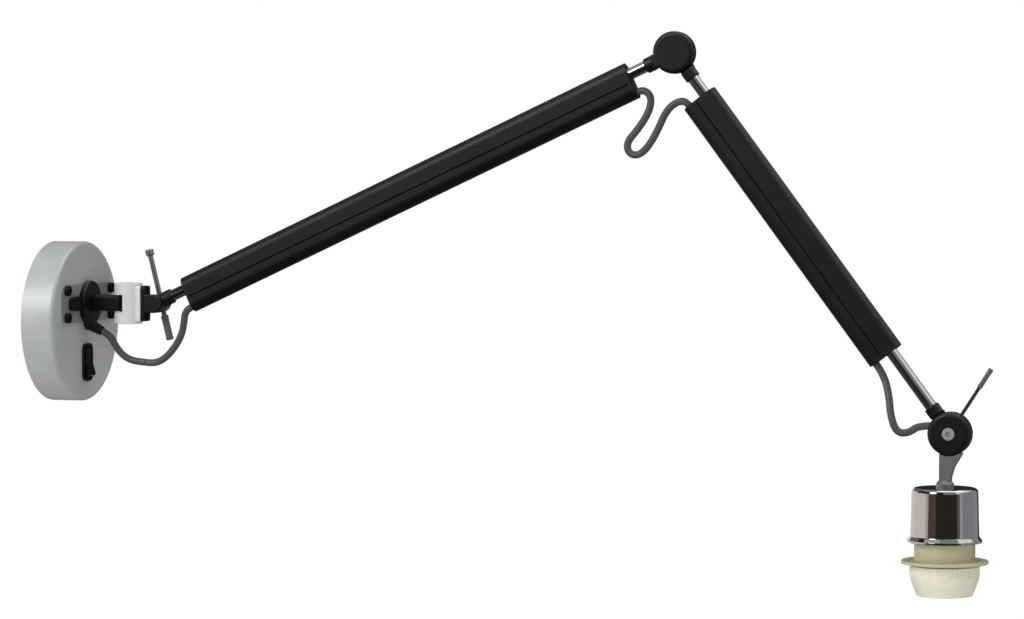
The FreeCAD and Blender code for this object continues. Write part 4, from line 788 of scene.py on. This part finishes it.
class LAMP_OT_stage(bpy.types.Operator):
    """Set the floor, the cards, the lights and the camera"""
    bl_idname = "lamp.stage"
    bl_label = "Stage"

    def execute(self, context):
        settings = context.scene.lamp_stage
        target = Vector(settings.target)
        context.scene.view_settings.view_transform = "Standard"
        self.lay_floor(settings.floor_height)
        low = target.z - settings.floor_height - CARD_CLEARANCE
        for name, across, rise, colour in CARDS:
            self.hang_card(name, target, across, rise, low, colour)
        self.light_studio(settings)
        self.place_camera(context, settings, target)
        return {"FINISHED"}

    def lay_floor(self, height):
        mesh = bpy.data.meshes.new("studio_floor")
        corners = [(x * FLOOR_REACH, y * FLOOR_REACH) for x, y in ((-1, -1), (1, -1), (1, 1), (-1, 1))]
        mesh.from_pydata([(x, y, height) for x, y in corners], [], [(0, 1, 2, 3)])
        floor = bpy.data.objects.new("studio_floor", mesh)
        bpy.context.scene.collection.objects.link(floor)
        material = bpy.data.materials.new("white_studio_floor")
        material.use_nodes = True
        tree = material.node_tree
        tree.nodes.clear()
        seen = self.seen_ray(tree)
        matt = add_node(tree, "ShaderNodeBsdfDiffuse", {"Color": linear("#e8e8e8")})
        faint = add_node(tree, "ShaderNodeBsdfDiffuse", {"Color": (0.2, 0.2, 0.2, 1)})
        glow = add_node(tree, "ShaderNodeEmission", {"Color": (1, 1, 1, 1), "Strength": FLOOR_GLOW})
        lit = add_node(tree, "ShaderNodeAddShader", links={0: glow.outputs[0], 1: faint.outputs[0]})
        mixed = add_node(tree, "ShaderNodeMixShader",
                         links={0: seen, 1: matt.outputs[0], 2: lit.outputs[0]})
        add_node(tree, "ShaderNodeOutputMaterial", links={"Surface": mixed.outputs[0]})
        mesh.materials.append(material)

    def seen_ray(self, tree):
        """1 where a ray comes from the camera, or from metal or glass that shows the background."""
        path = add_node(tree, "ShaderNodeLightPath")
        either = add_node(tree, "ShaderNodeMath", links={0: path.outputs["Is Camera Ray"],
                          1: path.outputs["Is Glossy Ray"]}, operation="MAXIMUM")
        return add_node(tree, "ShaderNodeMath", links={0: either.outputs[0],
                        1: path.outputs["Is Transmission Ray"]}, operation="MAXIMUM").outputs[0]

    def hang_card(self, name, centre, across, rise, low, colour):
        """A curved card that only shows in reflections, as a photographer's flag does.

        low is how far below the centre it may hang: from there on it lies flat over the floor.
        """
        mesh = bpy.data.meshes.new(name)
        steps = 24
        points, faces = [], []
        for j in range(steps + 1):
            for i in range(steps + 1):
                turn = math.radians(across[0] + (across[1] - across[0]) * i / steps)
                lift = math.radians(rise[0] + (rise[1] - rise[0]) * j / steps)
                reach = min(CARD_DISTANCE, low / -math.sin(lift)) if lift < 0 else CARD_DISTANCE
                points.append(centre + way_out(turn, lift) * reach)
        for j in range(steps):
            for i in range(steps):
                a = j * (steps + 1) + i
                faces.append((a, a + 1, a + steps + 2, a + steps + 1))
        mesh.from_pydata(points, [], faces)
        card = bpy.data.objects.new(name, mesh)
        bpy.context.scene.collection.objects.link(card)
        material = bpy.data.materials.new(name)
        material.use_nodes = True
        tree = material.node_tree
        tree.nodes.clear()
        glow = add_node(tree, "ShaderNodeEmission", {"Color": linear(colour)})
        add_node(tree, "ShaderNodeOutputMaterial", links={"Surface": glow.outputs[0]})
        mesh.materials.append(material)
        card.visible_camera = card.visible_diffuse = card.visible_shadow = False
        card.visible_transmission = False

    def light_studio(self, settings):
        world = bpy.data.worlds.new("studio")
        bpy.context.scene.world = world
        world.use_nodes = True
        tree = world.node_tree
        tree.nodes.clear()
        seen = self.seen_ray(tree)
        strength = add_node(tree, "ShaderNodeMapRange", {"To Min": settings.surround, "To Max": 1.0},
                            {"Value": seen})
        sky = add_node(tree, "ShaderNodeBackground", {"Color": (1, 1, 1, 1)},
                       {"Strength": strength.outputs[0]})
        add_node(tree, "ShaderNodeOutputWorld", links={"Surface": sky.outputs[0]})
        for name, place, size, power, shown in SOFTBOXES:
            lamp = bpy.data.lights.new(name, "AREA")
            lamp.energy, lamp.size = power, size
            holder = bpy.data.objects.new(name, lamp)
            holder.location = place
            aim = LIT_POINT - Vector(place)
            holder.rotation_euler = aim.to_track_quat("-Z", "Y").to_euler()
            holder.visible_glossy = shown
            bpy.context.scene.collection.objects.link(holder)

    def place_camera(self, context, settings, target):
        lens = bpy.data.cameras.new("photograph_view")
        lens.sensor_width, lens.lens = 36.0, settings.focal_length
        lens.clip_end = 100.0
        camera = bpy.data.objects.new("photograph_view", lens)
        away = way_out(settings.azimuth, settings.elevation)
        camera.location = target + away * settings.distance
        camera.rotation_euler = (-away).to_track_quat("-Z", "Y").to_euler()
        context.scene.collection.objects.link(camera)
        context.scene.camera = camera


class LAMP_PT_panel(bpy.types.Panel):
    """The lamp's pieces and settings."""
    bl_idname = "LAMP_PT_panel"
    bl_label = "Wall lamp"
    bl_space_type = "VIEW_3D"
    bl_region_type = "UI"
    bl_category = "Wall lamp"

    def draw(self, context):
        layout = self.layout
        for operator in OPERATORS:
            layout.operator(operator.bl_idname)
        for group in (context.scene.lamp_cords, context.scene.lamp_fittings, context.scene.lamp_stage):
            box = layout.box()
            for name in group.bl_rna.properties.keys():
                if name not in ("rna_type", "name"):
                    box.prop(group, name)


OPERATORS = (LAMP_OT_finishes, LAMP_OT_cords, LAMP_OT_lampholder, LAMP_OT_grips, LAMP_OT_screws,
             LAMP_OT_stage)
CLASSES = (LampCords, LampFittings, LampStage) + OPERATORS + (LAMP_PT_panel,)


def register():
    for made in CLASSES:
        bpy.utils.register_class(made)
    bpy.types.Scene.lamp_cords = bpy.props.PointerProperty(type=LampCords)
    bpy.types.Scene.lamp_fittings = bpy.props.PointerProperty(type=LampFittings)
    bpy.types.Scene.lamp_stage = bpy.props.PointerProperty(type=LampStage)


def unregister():
    del bpy.types.Scene.lamp_stage
    del bpy.types.Scene.lamp_fittings
    del bpy.types.Scene.lamp_cords
    for made in reversed(CLASSES):
        bpy.utils.unregister_class(made)


def main():
    register()
    for operator in OPERATORS:
        space, name = operator.bl_idname.split(".")
        getattr(getattr(bpy.ops, space), name)()


if __name__ == "__main__":
    main()
